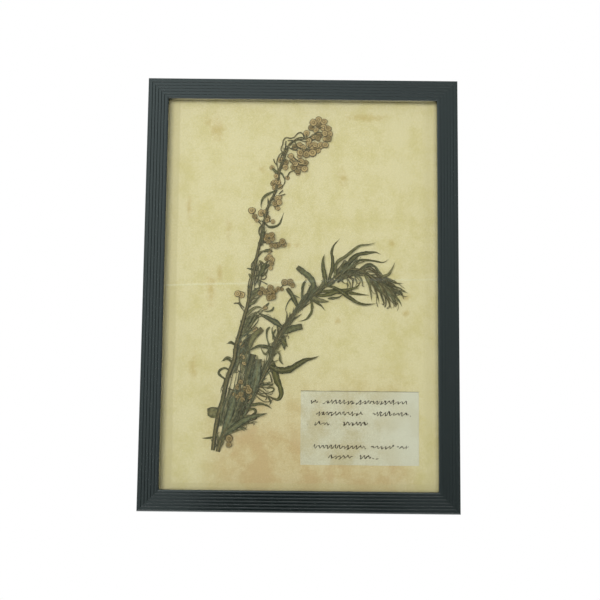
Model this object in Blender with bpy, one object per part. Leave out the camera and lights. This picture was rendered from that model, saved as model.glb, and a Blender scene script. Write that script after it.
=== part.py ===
# A pressed flower frame: a dried plant and its label on an old sheet of paper,
# behind glass, in a narrow black frame of reeded moulding that hangs on a wall.
# Metres, +Z up. The front faces -Y and the wall is the plane y = 0. The origin
# is in that plane, at the notch of the hanger where the nail carries the frame.
# The lists of points on the plant are in millimetres from the sheet's middle,
# x to the right and z up, and are turned into metres by MM where they are used.

import math

import bmesh
import bpy
from mathutils import Vector

MM = 0.001

# Frame
FRAME_WIDTH = 0.230
FRAME_HEIGHT = 0.317
FRAME_DEPTH = 0.020
RAIL_FACE = 0.0155
LIP_THICKNESS = 0.0035
REBATE = 0.006
EDGE_CHAMFER = 0.0007
REED_COUNT = 6
REED_DEPTH = 0.00055
REED_SIDES = 4
GAP = 0.0003
MITRE_GAP = 0.00016

# Hanging point above the middle of the frame
HANG_ABOVE_MIDDLE = 0.105
MIDDLE_Z = -HANG_ABOVE_MIDDLE

# What lies in the rebate, from the glass to the board; the sheets are A4
PANE_WIDTH = 0.210
PANE_HEIGHT = 0.297
GLASS_THICKNESS = 0.002
SPECIMEN_SPACE = 0.004
SHEET_THICKNESS = 0.0004
BOARD_THICKNESS = 0.003
GLASS_FRONT = -FRAME_DEPTH + LIP_THICKNESS + GAP
GLASS_BACK = GLASS_FRONT + GLASS_THICKNESS
SHEET_FRONT = GLASS_BACK + SPECIMEN_SPACE
SHEET_BACK = SHEET_FRONT + SHEET_THICKNESS
BOARD_FRONT = SHEET_BACK + GAP
BOARD_BACK = BOARD_FRONT + BOARD_THICKNESS

# Label, pasted on the sheet at the lower right
LABEL_LEFT = 0.0008
LABEL_RIGHT = 0.0865
LABEL_TOP = -0.0720
LABEL_BOTTOM = -0.1253
LABEL_THICKNESS = 0.0002

# Flat steel points that hold the board in
POINT_WIDTH = 0.008
POINT_LENGTH = 0.013
POINT_THICKNESS = 0.0005
POINT_ARC_STEPS = 6
SIDE_POINT_HEIGHT = 0.075

# Saw-toothed hanger, riveted to the board
HANGER_WIDTH = 0.045
HANGER_HEIGHT = 0.010
HANGER_PLATE = 0.0008
HANGER_BRIDGE = 0.027
HANGER_STANDOFF = 0.0013
HANGER_SLOPE = 0.003
TOOTH_PITCH = 0.003
TOOTH_DEPTH = 0.0016
NOTCH_WIDTH = 0.0024
TOOTH_COUNT = 7
RIVET_RADIUS = 0.0022
RIVET_HEIGHT = 0.0010
RIVET_SPACING = 0.038
RIVET_SIDES = 10
RIVET_PROFILE = [(0.0, 1.0), (0.6, 0.92), (1.0, 0.45)]

# Levels of the plant above the sheet, in millimetres
LEVEL_BACK = 0.50
LEVEL_STEM = 1.75
LEVEL_FRONT = 3.00
LEVEL_TOP = 3.55
LEAF_THICKNESS = 0.30
TOP_LEAF_THICKNESS = 0.20
LEAF_FOOT = 0.5
LEAF_SWELL = 1.7
BLUNT_TAPER = 0.2
TIP_POWER = 2.2
STEM_FLATNESS = 0.72
STEM_HALF_HEIGHT = 0.80
HEAD_BOTTOM = 0.95
HEAD_TOP = 2.60
STALK_RADIUS = 0.42
LEAF_STATION = 5.4
STEM_STATION = 8.0
STALK_STATION = 5.0
STEM_SIDES = 6
STALK_SIDES = 4
HEAD_SIDES = 6
HEAD_PROFILE = [(0.0, 0.72), (0.35, 1.0), (1.0, 0.62)]
HEAD_TURN = 0.37
HEAD_SINK = 0.02
TYPICAL_HEAD = 4.0

# Stems: (x, z, half width) from the cut foot upwards
FLOWERING_STEM = [(-62.4, -115.5, 1.3), (-61.3, -106, 1.4), (-60.2, -98, 1.5), (-58.4, -89, 1.5),
                  (-55.8, -79, 1.5), (-54, -69, 1.5), (-51.6, -60, 1.5), (-48, -50, 1.5),
                  (-46.8, -40, 1.5), (-44.2, -30, 1.4), (-41.6, -20, 1.3), (-38.9, -10, 1.2),
                  (-37.4, 0, 1.1), (-35.6, 10, 1.0), (-33.8, 20, 1.0), (-32, 30, 1.0),
                  (-29.9, 40, 0.9), (-28.2, 50, 0.9), (-26, 60, 0.9), (-24, 66, 0.85),
                  (-20.6, 73, 0.8), (-18.6, 80, 0.8), (-17.4, 88, 0.8), (-15.6, 96, 0.75),
                  (-12.8, 103, 0.7), (-10.8, 108, 0.6)]
LEAFY_STEM = [(-58.8, -116.5, 1.4), (-56.6, -108, 1.5), (-52.6, -100, 1.6), (-47.5, -91, 1.6),
              (-42, -84, 1.6), (-36, -76, 1.6), (-29.5, -67, 1.6), (-24.6, -57, 1.6),
              (-20.8, -47, 1.6), (-18, -38, 1.5), (-13, -28, 1.5), (-7.2, -19, 1.4),
              (0.2, -10, 1.4), (8.5, -2.6, 1.3), (17, 4, 1.2), (24, 9.6, 1.1)]
SHOOT_TIP = [(25.2, 10.6, 1.1), (31, 15.2, 1.1), (38, 17.4, 1.0), (46, 15.4, 1.0),
             (53.5, 10.4, 0.9), (61, 5, 0.8), (67.5, -0.4, 0.6)]

# Small leaves that grow as one with a stem: (width, points from the stem outwards)
FLOWERING_STEM_LEAVES = [
    (1.7, [(-20, 75.4), (-25.2, 73), (-28.6, 70), (-30.2, 66), (-29.8, 62)]),
    (1.0, [(-28.4, 50.5), (-31, 47.5), (-31.6, 44.5), (-30.6, 41.5)]),
    (1.3, [(-33, 25.5), (-31.4, 28.4), (-28.5, 30.1), (-25.5, 30.2)]),
    (1.6, [(-33.4, 15.6), (-36.5, 16.3), (-40, 17.2)]),
    (1.4, [(-35.4, 9.6), (-37.5, 11), (-38.9, 13.4)]),
    (1.4, [(-47.2, -39.8), (-50.6, -38), (-54, -38.6)]),
    (1.7, [(-48.6, -53.5), (-51.4, -50.4), (-54.6, -49.8), (-57.4, -51.6)]),
    (1.5, [(-61, -106), (-65.6, -106.8), (-70.2, -107.1)]),
    (1.2, [(-42.4, -25.6), (-39.6, -29.5), (-38.2, -35.5)]),
]
LEAFY_STEM_LEAVES = [
    (1.7, [(1.6, -8), (0.9, -2), (1.6, 3.5), (4.6, 9)]),
    (1.0, [(-1.8, -12), (-6.6, -5), (-9.8, -9), (-11, -13.4), (-9.4, -17)]),
    (1.9, [(7, -4), (8.3, -10), (7.6, -15.5), (4, -20), (-1.6, -21.8)]),
    (1.2, [(6.5, -4.5), (12, -8.4), (15.4, -10.4), (18, -13.6)]),
    (3.0, [(8, -3.4), (14, -6), (20.4, -6.6)]),
    (1.4, [(-19, -42), (-15, -45.8), (-13.8, -50.8), (-12, -53.2)]),
    (2.8, [(-15.4, -32.5), (-12.4, -36.4), (-9, -40.5)]),
    (1.4, [(-17, -36), (-20, -31.5), (-20.8, -27.4), (-19.4, -25)]),
    (1.1, [(-20, -44), (-23.6, -37), (-24.9, -31.6), (-24.2, -26.6)]),
    (1.8, [(-51.6, -98.4), (-46, -98.2), (-42, -99.3), (-38, -100.8)]),
    (2.2, [(-40.6, -82.4), (-34, -82.6), (-28, -82), (-23.2, -83.2), (-20.3, -85.5)]),
    (1.8, [(-44.4, -86.6), (-38, -86.4), (-33.6, -85.8), (-32.2, -88), (-35, -89.8)]),
]
SHOOT_TIP_LEAVES = [
    (1.8, [(38.6, 17.2), (42, 23.6), (48, 24.1), (54, 23.6), (60.2, 22.7), (64.8, 25)]),
    (2.0, [(57, 8), (60.4, 12), (64.2, 13.6), (67, 18), (69, 22.6)]),
    (1.8, [(44, 16), (49, 20.2), (54, 19.6), (58, 15.4), (61, 11.6)]),
    (1.4, [(30.4, 14.8), (30.6, 19), (33, 22.4), (37.6, 23.8)]),
    (1.4, [(33, 16), (37, 13.2), (41.4, 12.4), (44.4, 9.6), (45.8, 5)]),
    (1.8, [(53, 10.6), (61, 10.8), (69, 7.6), (75.4, 7.2)]),
    (1.6, [(57, 8), (66, 5.6), (73, 3.4), (78, 0)]),
    (2.4, [(59, 6.6), (67, 3), (73.4, -0.4), (75.6, -4.6)]),
    (2.0, [(61, 5), (67.8, -1), (72, -5.6), (74.2, -10)]),
    (2.2, [(59, 6.4), (65.4, -1.4), (69, -6), (70, -10.6)]),
    (2.0, [(56, 8.6), (61, 0.6), (64.6, -6.4), (66.6, -12)]),
    (2.0, [(53, 10.6), (57.8, 1.6), (60, -5), (61.6, -10.6)]),
    (1.8, [(50, 12.6), (54, 4), (56.6, -3), (57.6, -7.8)]),
    (1.9, [(46.6, 15), (50, 7), (51.4, -0.6), (52.2, -6.6)]),
]

# Leaves of their own: name -> (level, width, blunt or broken tip, points from the stem outwards)
LEAVES = {
    "leaf_tall_left": (LEVEL_FRONT, 3.4, False, [(18.6, 4.4), (17.8, 10), (16.4, 17), (16, 23), (17.2, 28)]),
    "leaf_tall_right": (LEVEL_BACK, 2.6, False,
                        [(20.4, 5.4), (21.4, 12), (23, 18), (23.2, 25), (22.4, 30), (24, 35), (28.6, 40.2)]),
    "leaf_arching_over": (LEVEL_FRONT, 2.4, False,
                          [(25.6, 9.6), (25, 17), (27, 22.6), (33, 26.8), (38.6, 31.6), (43.4, 34.8),
                           (49.4, 35.6), (55, 37.2)]),
    "leaf_broad_upper": (LEVEL_BACK, 3.6, False,
                         [(32.6, 15), (36, 23), (41.6, 28), (48.6, 29.6), (55, 30.2), (58.6, 28.4)]),
    "leaf_inner_right": (LEVEL_FRONT, 3.0, False,
                         [(11, -2.4), (19, -2), (27, 0.4), (34, 1.8), (39.6, 3.4), (42.8, 6), (42.4, 9)]),
    "leaf_level_right": (LEVEL_BACK, 3.2, False, [(14, 0.6), (24, 1), (34, 0.2), (42, -1), (50.4, -1.8)]),
    "leaf_falling_right": (LEVEL_TOP, 2.8, False,
                           [(20, 5), (26, 2.6), (31.4, -1), (36.6, -4.6), (42, -7.8), (48, -9), (55.8, -8)]),
    "leaf_bent_dark": (LEVEL_FRONT, 4.2, True,
                       [(6.4, -4.4), (8.6, 1.6), (8.8, 7), (5.6, 11.4), (1.2, 15), (-3, 18.2)]),
    "leaf_dark_stub": (LEVEL_FRONT, 3.0, True, [(-2, -11.4), (-4.4, -6.8), (-7, -1.8), (-10.2, 2.6)]),
    "leaf_broad_stub": (LEVEL_FRONT, 4.6, True, [(-11.6, -30), (-5.4, -27), (1.2, -25.4)]),
    "leaf_crossing": (LEVEL_FRONT, 3.6, False,
                      [(-13, -26.6), (-17, -23.4), (-22, -20.6), (-27, -18), (-32, -15.2)]),
    "leaf_long_right": (LEVEL_FRONT, 4.8, False,
                        [(-22.6, -54), (-15.6, -57.4), (-8.4, -57), (-2, -53.4), (4, -49.9), (9, -48.8),
                         (13.8, -46.8)]),
    "leaf_drooping": (LEVEL_BACK, 4.4, False,
                      [(-21.6, -49), (-18.6, -57), (-17, -64), (-14.4, -70), (-13.6, -75.4), (-16.6, -78.8),
                       (-24, -75.6)]),
    "leaf_blunt_left": (LEVEL_FRONT, 4.2, True,
                        [(-39, -46), (-37, -38.6), (-34.4, -33.6), (-31, -30.2), (-27.8, -27.4)]),
    "leaf_crossing_low": (LEVEL_TOP, 2.6, False,
                          [(-19.4, -42.6), (-24.4, -40.6), (-30, -40.2), (-34, -41.8), (-38.6, -44.4)]),
    "leaf_pale_left": (LEVEL_BACK, 5.2, True,
                       [(-42.6, -83.6), (-39.6, -73), (-38, -62), (-36, -53), (-34.6, -46)]),
    "leaf_pale_middle": (LEVEL_FRONT, 5.6, True, [(-36, -76.6), (-32.4, -66.6), (-31, -58), (-30.2, -49.6)]),
    "leaf_pale_right": (LEVEL_BACK, 3.4, False, [(-31.6, -70), (-28, -63.6), (-26.4, -56), (-26, -49)]),
    "leaf_low_inner": (LEVEL_FRONT, 5.0, False, [(-54.4, -103), (-51.6, -93), (-48.4, -83), (-47, -74)]),
    "leaf_low_right": (LEVEL_TOP, 4.2, False,
                       [(-54, -104), (-47.4, -99), (-41, -94.6), (-35, -91.6), (-29, -90.3), (-23.4, -88.6)]),
    "leaf_broad_left": (LEVEL_BACK, 6.8, True, [(-56.4, -88.4), (-61.4, -88), (-66.8, -88.4)]),
    "leaf_looped_left": (LEVEL_BACK, 1.7, False,
                         [(-51, -59), (-54, -56.5), (-57.5, -57.2), (-59.4, -60), (-57.3, -62.4),
                          (-54.9, -64.4), (-55.6, -68), (-57, -71), (-57.7, -74.6)]),
    "leaf_arched_left": (LEVEL_FRONT, 2.4, False,
                         [(-40.6, -18.8), (-36, -13.6), (-31.4, -11.4), (-27.4, -12.8)]),
    "leaf_dark_left": (LEVEL_BACK, 4.8, False, [(-42, -23.6), (-36.4, -20.2), (-30.4, -17)]),
    "leaf_hooked": (LEVEL_BACK, 1.7, False,
                    [(-27.4, 51), (-24, 48.4), (-20, 48.6), (-16.6, 50.6), (-14.8, 54.6), (-13.4, 59.6)]),
    "leaf_hanging": (LEVEL_FRONT, 2.1, True, [(-27.9, 50), (-28.3, 44.6), (-28.8, 39), (-29.3, 34)]),
    "leaf_dark_bract": (LEVEL_FRONT, 3.4, False, [(-30.2, 11.6), (-28.6, 15.4), (-27, 19), (-25, 22.6)]),
}

# Flower heads on their stalks. Each spray has stalks, lists of points from the
# stem outwards, and heads, (x, z, diameter), which overlap the stalks or each other.
FLOWERING_STEM_HEADS = {
    "stalks": [
        [(-15.6, 95), (-12.4, 96.4)],
        [(-16.2, 92.4), (-12.8, 93.4)],
        [(-17, 90), (-19.6, 90.4), (-22, 92.6)],
        [(-17.6, 87), (-19.2, 86.8)],
        [(-26.6, 58), (-29.6, 58.4)],
        [(-27.6, 53), (-25, 52.8), (-21.6, 52.2)],
        [(-27, 30.2), (-23.4, 30.2)],
        [(-42.8, -25), (-38, -26.6), (-34, -27.6)],
        [(-46.4, -40), (-42, -39.6)],
        [(-47.4, -48), (-42, -47.8)],
        [(-49, -53), (-44, -52.4), (-41, -52.2)],
    ],
    "heads": [(-12.2, 97.4, 4.2), (-12.6, 93.4, 4.2), (-16.4, 99.2, 3.8), (-22.4, 92.8, 3.6),
              (-19.4, 86.6, 3.6), (-21.4, 81, 4.2), (-18, 82.4, 4.8), (-16.6, 79, 4.4), (-20.2, 78, 4.0),
              (-30, 58.6, 5.2), (-26.8, 59.6, 4.0), (-25.6, 53.2, 3.8), (-21.2, 52.2, 3.4),
              (-23.4, 30.2, 3.8), (-33.6, -27.6, 4.2), (-42, -39.6, 5.4), (-41.6, -47.4, 4.6),
              (-40.4, -52.2, 4.2)],
}
SPRAYS = {
    "crown_spray": {
        "stalks": [[(-9.8, 109.8), (-7, 112.6), (-3, 114.6), (3, 115.6), (7.6, 118), (10.6, 122), (12, 127)],
                   [(7.6, 118), (13, 118.6), (19, 118)],
                   [(3, 115.6), (3, 119)],
                   [(10.6, 122), (7, 125)],
                   [(11, 122.6), (15.6, 125)]],
        "heads": [(12, 129.8, 5.0), (16, 128.4, 5.0), (8, 127.6, 5.4), (6.4, 123.8, 4.6), (12.2, 125.6, 4.4),
                  (19, 123.4, 5.4), (15.6, 124, 5.0), (10, 122, 4.4), (3, 119.6, 4.6), (20, 119, 5.0),
                  (16.6, 119.4, 4.6), (12.4, 118, 5.0), (19.2, 115.2, 5.0), (8.4, 117, 4.4)],
    },
    "crown_lower_spray": {
        "stalks": [[(-9.4, 107.6), (-5, 108.8), (0, 107.6), (5, 107), (11, 107.8), (14, 110)],
                   [(0, 107.6), (1, 104)],
                   [(4, 107), (5, 111.6)]],
        "heads": [(5, 111.4, 5.0), (9.2, 110.8, 4.6), (13.6, 110.4, 5.0), (17, 110.6, 4.8),
                  (-1.6, 104.6, 5.2), (3, 103.4, 5.4), (7.6, 104.4, 5.8), (11.4, 107, 5.0),
                  (7.6, 107.6, 4.6), (0.6, 108.2, 4.6), (-2, 110.6, 4.6), (-5.6, 109.2, 4.4)],
    },
    "right_spray": {
        "stalks": [[(-11.2, 101.6), (-9, 100.4), (-6, 97.6), (-2, 95.6), (1.4, 94.6)],
                   [(-4.6, 93), (-5.8, 91), (-8.6, 90.2), (-10.4, 88), (-11, 85.4)]],
        "heads": [(-1, 98, 5.0), (2.4, 96.8, 4.6), (1.8, 92.2, 5.0), (-1.6, 94, 5.0), (-5, 96, 4.8),
                  (-6.4, 93.2, 4.4), (-3.4, 90.4, 4.4), (-7.4, 99, 4.2), (-10.8, 85.6, 3.2)],
    },
    "bend_spray": {
        "stalks": [[(-19.7, 71.4), (-18.6, 69), (-18, 65.6), (-17.8, 62.6)]],
        "heads": [(-18, 69.6, 4.4), (-16.8, 66.8, 4.6), (-19.8, 65.6, 4.4), (-17.8, 62.4, 3.4)],
    },
    "left_spray": {
        "stalks": [[(-30, 52.2), (-32.4, 54), (-35, 56.6), (-36.8, 60)]],
        "heads": [(-37, 60.6, 5.4), (-35, 56, 3.8)],
    },
    "middle_spray": {
        "stalks": [[(-27.6, 40), (-25, 39.6), (-23, 35.6), (-19.4, 34), (-15.6, 35), (-13.6, 37)]],
        "heads": [(-25.2, 41.4, 4.0), (-22.2, 41.8, 4.8), (-21.4, 39.2, 4.2), (-24.4, 37.2, 4.0),
                  (-22, 34.2, 3.6), (-19.4, 34, 3.4), (-16.8, 34.6, 4.0), (-14, 37, 4.8), (-12.8, 35, 4.0)],
    },
    "side_branch": {
        "stalks": [[(-37, -8.4), (-34.2, -3.6), (-31.6, 0.4), (-30.2, 5), (-29.4, 10), (-28, 15),
                    (-26.2, 19.6), (-24.2, 23)],
                   [(-26.2, 19.6), (-23, 18)]],
        "heads": [(-23.6, 25.6, 4.8), (-21.6, 23.6, 4.2), (-22, 20.8, 3.8), (-22.6, 17.6, 3.4)],
    },
    "low_spray": {
        "stalks": [[(-30, -3), (-26, -1), (-21, 0.4), (-17, 2), (-14.6, 3.4), (-12, 6)],
                   [(-26, -1), (-22, -4.6)]],
        "heads": [(-22.4, 2.6, 4.8), (-20.8, -1, 4.6), (-23.2, -4.6, 4.6), (-20.4, -4, 4.6),
                  (-26, -0.4, 4.4), (-16.6, 2.2, 3.4), (-12, 6.8, 5.0), (-8, 7, 5.2), (-6.2, 4.8, 4.0)],
    },
    "left_low_spray": {
        "stalks": [[(-41.4, -12), (-43.4, -10.4), (-45, -7.6), (-45.2, -4)], [(-44.8, -8.4), (-49, -9)]],
        "heads": [(-46.4, -1.8, 4.8), (-43.6, -2.6, 5.0)],
    },
    "lower_heads": {
        "stalks": [[(-52, -71), (-48, -72.4), (-44, -72), (-38, -73.6)], [(-45.6, -72), (-43.6, -67)]],
        "heads": [(-43, -66.4, 4.2), (-45, -70, 4.4), (-40.2, -71.6, 4.8), (-37.8, -70.2, 4.2),
                  (-46.6, -75.6, 4.8), (-42.4, -75, 4.4)],
    },
    "foot_heads": {
        "stalks": [[(-53.7, -106.8), (-51, -107), (-50.8, -111)]],
        "heads": [(-50.7, -107, 5.4), (-50.8, -111.4, 4.2)],
    },
}


def srgb(hex_colour):
    """Linear colour from an sRGB hex string."""
    values = [int(hex_colour[i:i + 2], 16) / 255 for i in (0, 2, 4)]
    return [v / 12.92 if v <= 0.04045 else ((v + 0.055) / 1.055) ** 2.4 for v in values] + [1.0]


def make_material(name, hex_colour, roughness, metallic=0.0, transmission=0.0):
    material = bpy.data.materials.new(name)
    material.use_nodes = True
    shader = material.node_tree.nodes["Principled BSDF"]
    shader.inputs["Base Color"].default_value = srgb(hex_colour)
    shader.inputs["Roughness"].default_value = roughness
    shader.inputs["Metallic"].default_value = metallic
    shader.inputs["Transmission Weight"].default_value = transmission
    return material


def add_object(name, mesh, material=None):
    obj = bpy.data.objects.new(name, mesh)
    bpy.context.scene.collection.objects.link(obj)
    if material:
        mesh.materials.append(material)
    return obj


def mesh_from(name, vertices, faces):
    """A closed mesh whose faces point outwards."""
    mesh = bpy.data.meshes.new(name)
    mesh.from_pydata(vertices, [], faces)
    shape = bmesh.new()
    shape.from_mesh(mesh)
    bmesh.ops.recalc_face_normals(shape, faces=shape.faces)
    shape.to_mesh(mesh)
    shape.free()
    return mesh


def loft(name, rings):
    """Skin over rings of equal count, closed by a face at either end; a ring of one point is a tip."""
    vertices = [point for ring in rings for point in ring]
    starts = [0]
    for ring in rings:
        starts.append(starts[-1] + len(ring))
    faces = []
    for i in range(len(rings) - 1):
        low, high = rings[i], rings[i + 1]
        count = max(len(low), len(high))
        for k in range(count):
            a, b = starts[i] + k, starts[i] + (k + 1) % count
            c, d = starts[i + 1] + (k + 1) % count, starts[i + 1] + k
            if len(high) == 1:
                faces.append((a, b, starts[i + 1]))
            elif len(low) == 1:
                faces.append((starts[i], c, d))
            else:
                faces.append((a, b, c, d))
    for i, ring in ((0, rings[0]), (len(rings) - 1, rings[-1])):
        if len(ring) > 1:
            faces.append(tuple(range(starts[i], starts[i] + len(ring))))
    return mesh_from(name, vertices, faces)


def box(name, low, high, material):
    rings = [[(low[0], low[1], z), (high[0], low[1], z), (high[0], high[1], z), (low[0], high[1], z)]
             for z in (low[2], high[2])]
    return add_object(name, loft(name, rings), material)


def fuse(name, pieces, material):
    """One closed body from overlapping pieces, by a Boolean union."""
    others = bpy.data.collections.new(name + "_pieces")
    bpy.context.scene.collection.children.link(others)
    for piece in pieces[1:]:
        bpy.context.scene.collection.objects.unlink(piece)
        others.objects.link(piece)
    union = pieces[0].modifiers.new("union", "BOOLEAN")
    union.operation = "UNION"
    union.operand_type = "COLLECTION"
    union.collection = others
    union.solver = "EXACT"
    evaluated = pieces[0].evaluated_get(bpy.context.evaluated_depsgraph_get())
    mesh = bpy.data.meshes.new_from_object(evaluated)
    mesh.name = name
    for piece in pieces:
        bpy.data.objects.remove(piece)
    bpy.data.collections.remove(others)
    mesh.materials.clear()
    return add_object(name, mesh, material)


def smooth_shade(obj, sharp_angle):
    obj.data.shade_smooth()
    obj.data.set_sharp_from_angle(angle=math.radians(sharp_angle))


# Frame


def moulding_profile():
    """Outline of the moulding: (distance in from the outer edge, y), round the section."""
    front = -FRAME_DEPTH
    flat = RAIL_FACE - 2 * EDGE_CHAMFER
    pitch = flat / REED_COUNT
    outline = [(0.0, front + EDGE_CHAMFER)]
    for reed in range(REED_COUNT):
        start = EDGE_CHAMFER + reed * pitch
        for step in range(REED_SIDES):
            share = step / REED_SIDES
            crest = math.sin(math.pi * share) * REED_DEPTH
            outline.append((start + share * pitch, front + REED_DEPTH - crest))
    outline.append((EDGE_CHAMFER + flat, front + REED_DEPTH))
    outline.append((RAIL_FACE, front + REED_DEPTH + EDGE_CHAMFER))
    outline.append((RAIL_FACE, front + LIP_THICKNESS))
    outline.append((RAIL_FACE - REBATE, front + LIP_THICKNESS))
    outline.append((RAIL_FACE - REBATE, 0.0))
    outline.append((0.0, 0.0))
    return outline


def make_rail(name, turn, length, reach, material):
    """A mitred rail: the section swept along one side, turned about the middle of the frame."""
    rings = []
    for side in (-1, 1):
        ring = []
        for inset, y in moulding_profile():
            along = side * (length / 2 - inset - MITRE_GAP)
            out = reach / 2 - inset
            x = along * math.cos(turn) + out * math.sin(turn)
            z = -along * math.sin(turn) + out * math.cos(turn)
            ring.append((x, y, MIDDLE_Z + z))
        rings.append(ring)
    return add_object(name, loft(name, rings), material)


def make_frame():
    paint = make_material("black_stain", "2E3334", 0.38)
    make_rail("rail_top", 0.0, FRAME_WIDTH, FRAME_HEIGHT, paint)
    make_rail("rail_right", math.pi / 2, FRAME_HEIGHT, FRAME_WIDTH, paint)
    make_rail("rail_bottom", math.pi, FRAME_WIDTH, FRAME_HEIGHT, paint)
    make_rail("rail_left", -math.pi / 2, FRAME_HEIGHT, FRAME_WIDTH, paint)


# Glass, sheet, label and board


def make_pane(name, front, back, material):
    low = (-PANE_WIDTH / 2, front, MIDDLE_Z - PANE_HEIGHT / 2)
    high = (PANE_WIDTH / 2, back, MIDDLE_Z + PANE_HEIGHT / 2)
    return box(name, low, high, material)


def make_panes():
    clear = make_material("float_glass", "F4F8F6", 0.02, transmission=1.0)
    make_pane("glass", GLASS_FRONT, GLASS_BACK, clear)
    make_pane("sheet", SHEET_FRONT, SHEET_BACK, make_material("old_paper", "D3CD9B", 0.9))
    make_pane("backboard", BOARD_FRONT, BOARD_BACK, make_material("hardboard", "8A6A48", 0.8))
    label_back = SHEET_FRONT - GAP
    low = (LABEL_LEFT, label_back - LABEL_THICKNESS, MIDDLE_Z + LABEL_BOTTOM)
    high = (LABEL_RIGHT, label_back, MIDDLE_Z + LABEL_TOP)
    box("label", low, high, make_material("label_paper", "CDC8B4", 0.9))


# Back: points and hanger


def make_point(name, x, z, turn, steel):
    """A flat tongue with a round end, from the rebate's wall in over the board."""
    outline = [(-POINT_WIDTH / 2, 0.0), (POINT_WIDTH / 2, 0.0)]
    straight = POINT_LENGTH - POINT_WIDTH / 2
    for step in range(POINT_ARC_STEPS + 1):
        angle = math.pi * step / POINT_ARC_STEPS
        outline.append((POINT_WIDTH / 2 * math.cos(angle), straight + POINT_WIDTH / 2 * math.sin(angle)))
    rings = []
    for y in (BOARD_BACK + GAP, BOARD_BACK + GAP + POINT_THICKNESS):
        ring = []
        for side, inward in outline:
            dx = side * math.cos(turn) - inward * math.sin(turn)
            dz = side * math.sin(turn) + inward * math.cos(turn)
            ring.append((x + dx, y, MIDDLE_Z + z + dz))
        rings.append(ring)
    return add_object(name, loft(name, rings), steel)


def make_points(steel):
    wall_x = FRAME_WIDTH / 2 - RAIL_FACE + REBATE - GAP
    wall_z = FRAME_HEIGHT / 2 - RAIL_FACE + REBATE - GAP
    for word, z in (("upper", SIDE_POINT_HEIGHT), ("lower", -SIDE_POINT_HEIGHT)):
        make_point("point_left_" + word, -wall_x, z, -math.pi / 2, steel)
        make_point("point_right_" + word, wall_x, z, math.pi / 2, steel)
    make_point("point_top", 0.0, wall_z, math.pi, steel)
    make_point("point_bottom", 0.0, -wall_z, 0.0, steel)


def make_hanger(steel):
    """A bent strip that bridges away from the board, with teeth cut in its lower edge."""
    flat = BOARD_BACK + GAP
    raised = flat + HANGER_STANDOFF
    half, bridge = HANGER_WIDTH / 2, HANGER_BRIDGE / 2
    line = [(-half, flat), (-bridge - HANGER_SLOPE, flat), (-bridge, raised),
            (bridge, raised), (bridge + HANGER_SLOPE, flat), (half, flat)]
    outline = line + [(x, y + HANGER_PLATE) for x, y in reversed(line)]
    tooth_root = 0.0
    bottom = tooth_root - TOOTH_DEPTH
    rings = [[(x, y, z) for x, y in outline] for z in (bottom, bottom + HANGER_HEIGHT)]
    hanger = add_object("hanger", loft("hanger", rings), steel)
    teeth = []
    for tooth in range(TOOTH_COUNT):
        x = (tooth - (TOOTH_COUNT - 1) / 2) * TOOTH_PITCH
        section = [(x - NOTCH_WIDTH / 2, bottom - MM), (x + NOTCH_WIDTH / 2, bottom - MM), (x, tooth_root)]
        rings = [[(px, y, pz) for px, pz in section] for y in (flat - MM, raised + HANGER_PLATE + MM)]
        teeth.append(loft("tooth", rings))
    for mesh in teeth:
        cutter = add_object("tooth_cutter", mesh)
        cutter.hide_render = True
        cutter.display_type = "WIRE"
        cut = hanger.modifiers.new("tooth", "BOOLEAN")
        cut.operation = "DIFFERENCE"
        cut.solver = "EXACT"
        cut.object = cutter
    rivet_z = bottom + HANGER_HEIGHT / 2
    for word, side in (("left", -1), ("right", 1)):
        rings = []
        for height, width in RIVET_PROFILE:
            y = flat + HANGER_PLATE + GAP + height * RIVET_HEIGHT
            ring = []
            for k in range(RIVET_SIDES):
                angle = math.tau * k / RIVET_SIDES
                x = side * RIVET_SPACING / 2 + width * RIVET_RADIUS * math.cos(angle)
                ring.append((x, y, rivet_z + width * RIVET_RADIUS * math.sin(angle)))
            rings.append(ring)
        rivet = add_object("hanger_rivet_" + word, loft("rivet", rings), steel)
        smooth_shade(rivet, 40)


# Plant


def smooth_path(points, station):
    """Points about one station apart on a Catmull-Rom curve through the given points."""
    points = [Vector(p) for p in points]
    ends = [2 * points[0] - points[1]] + points + [2 * points[-1] - points[-2]]
    path = []
    for i in range(1, len(ends) - 2):
        before, start, end, after = ends[i - 1:i + 3]
        steps = max(1, round((end - start).length / station))
        for step in range(steps):
            t = step / steps
            square = 2 * before - 5 * start + 4 * end - after
            cube = 3 * start - before - 3 * end + after
            path.append(0.5 * (2 * start + (end - before) * t + square * t ** 2 + cube * t ** 3))
    path.append(points[-1])
    return path


def sideways(path, i):
    """Unit vector across the path at its point i."""
    along = path[min(i + 1, len(path) - 1)] - path[max(i - 1, 0)]
    return Vector((-along[1], along[0])).normalized()


def on_sheet(x, z, height):
    """Place of a point of the plant, from millimetres on the sheet and above it."""
    return (x * MM, SHEET_FRONT - height * MM, MIDDLE_Z + z * MM)


def leaf_mesh(name, points, width, height, thickness, blunt):
    path = smooth_path(points, LEAF_STATION)
    last = len(path) - 1
    rings = []
    for i, centre in enumerate(path):
        share = i / last
        half = width / 2 * min(1.0, LEAF_FOOT + LEAF_SWELL * share)
        half *= 1 - BLUNT_TAPER * share if blunt else 1 - share ** TIP_POWER
        if i == last and not blunt:
            rings.append([on_sheet(centre[0], centre[1], height)])
            break
        across = sideways(path, i) * half
        rings.append([on_sheet(centre[0] + across[0], centre[1] + across[1], height),
                      on_sheet(centre[0], centre[1], height + thickness / 2),
                      on_sheet(centre[0] - across[0], centre[1] - across[1], height),
                      on_sheet(centre[0], centre[1], height - thickness / 2)])
    return loft(name, rings)


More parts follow.
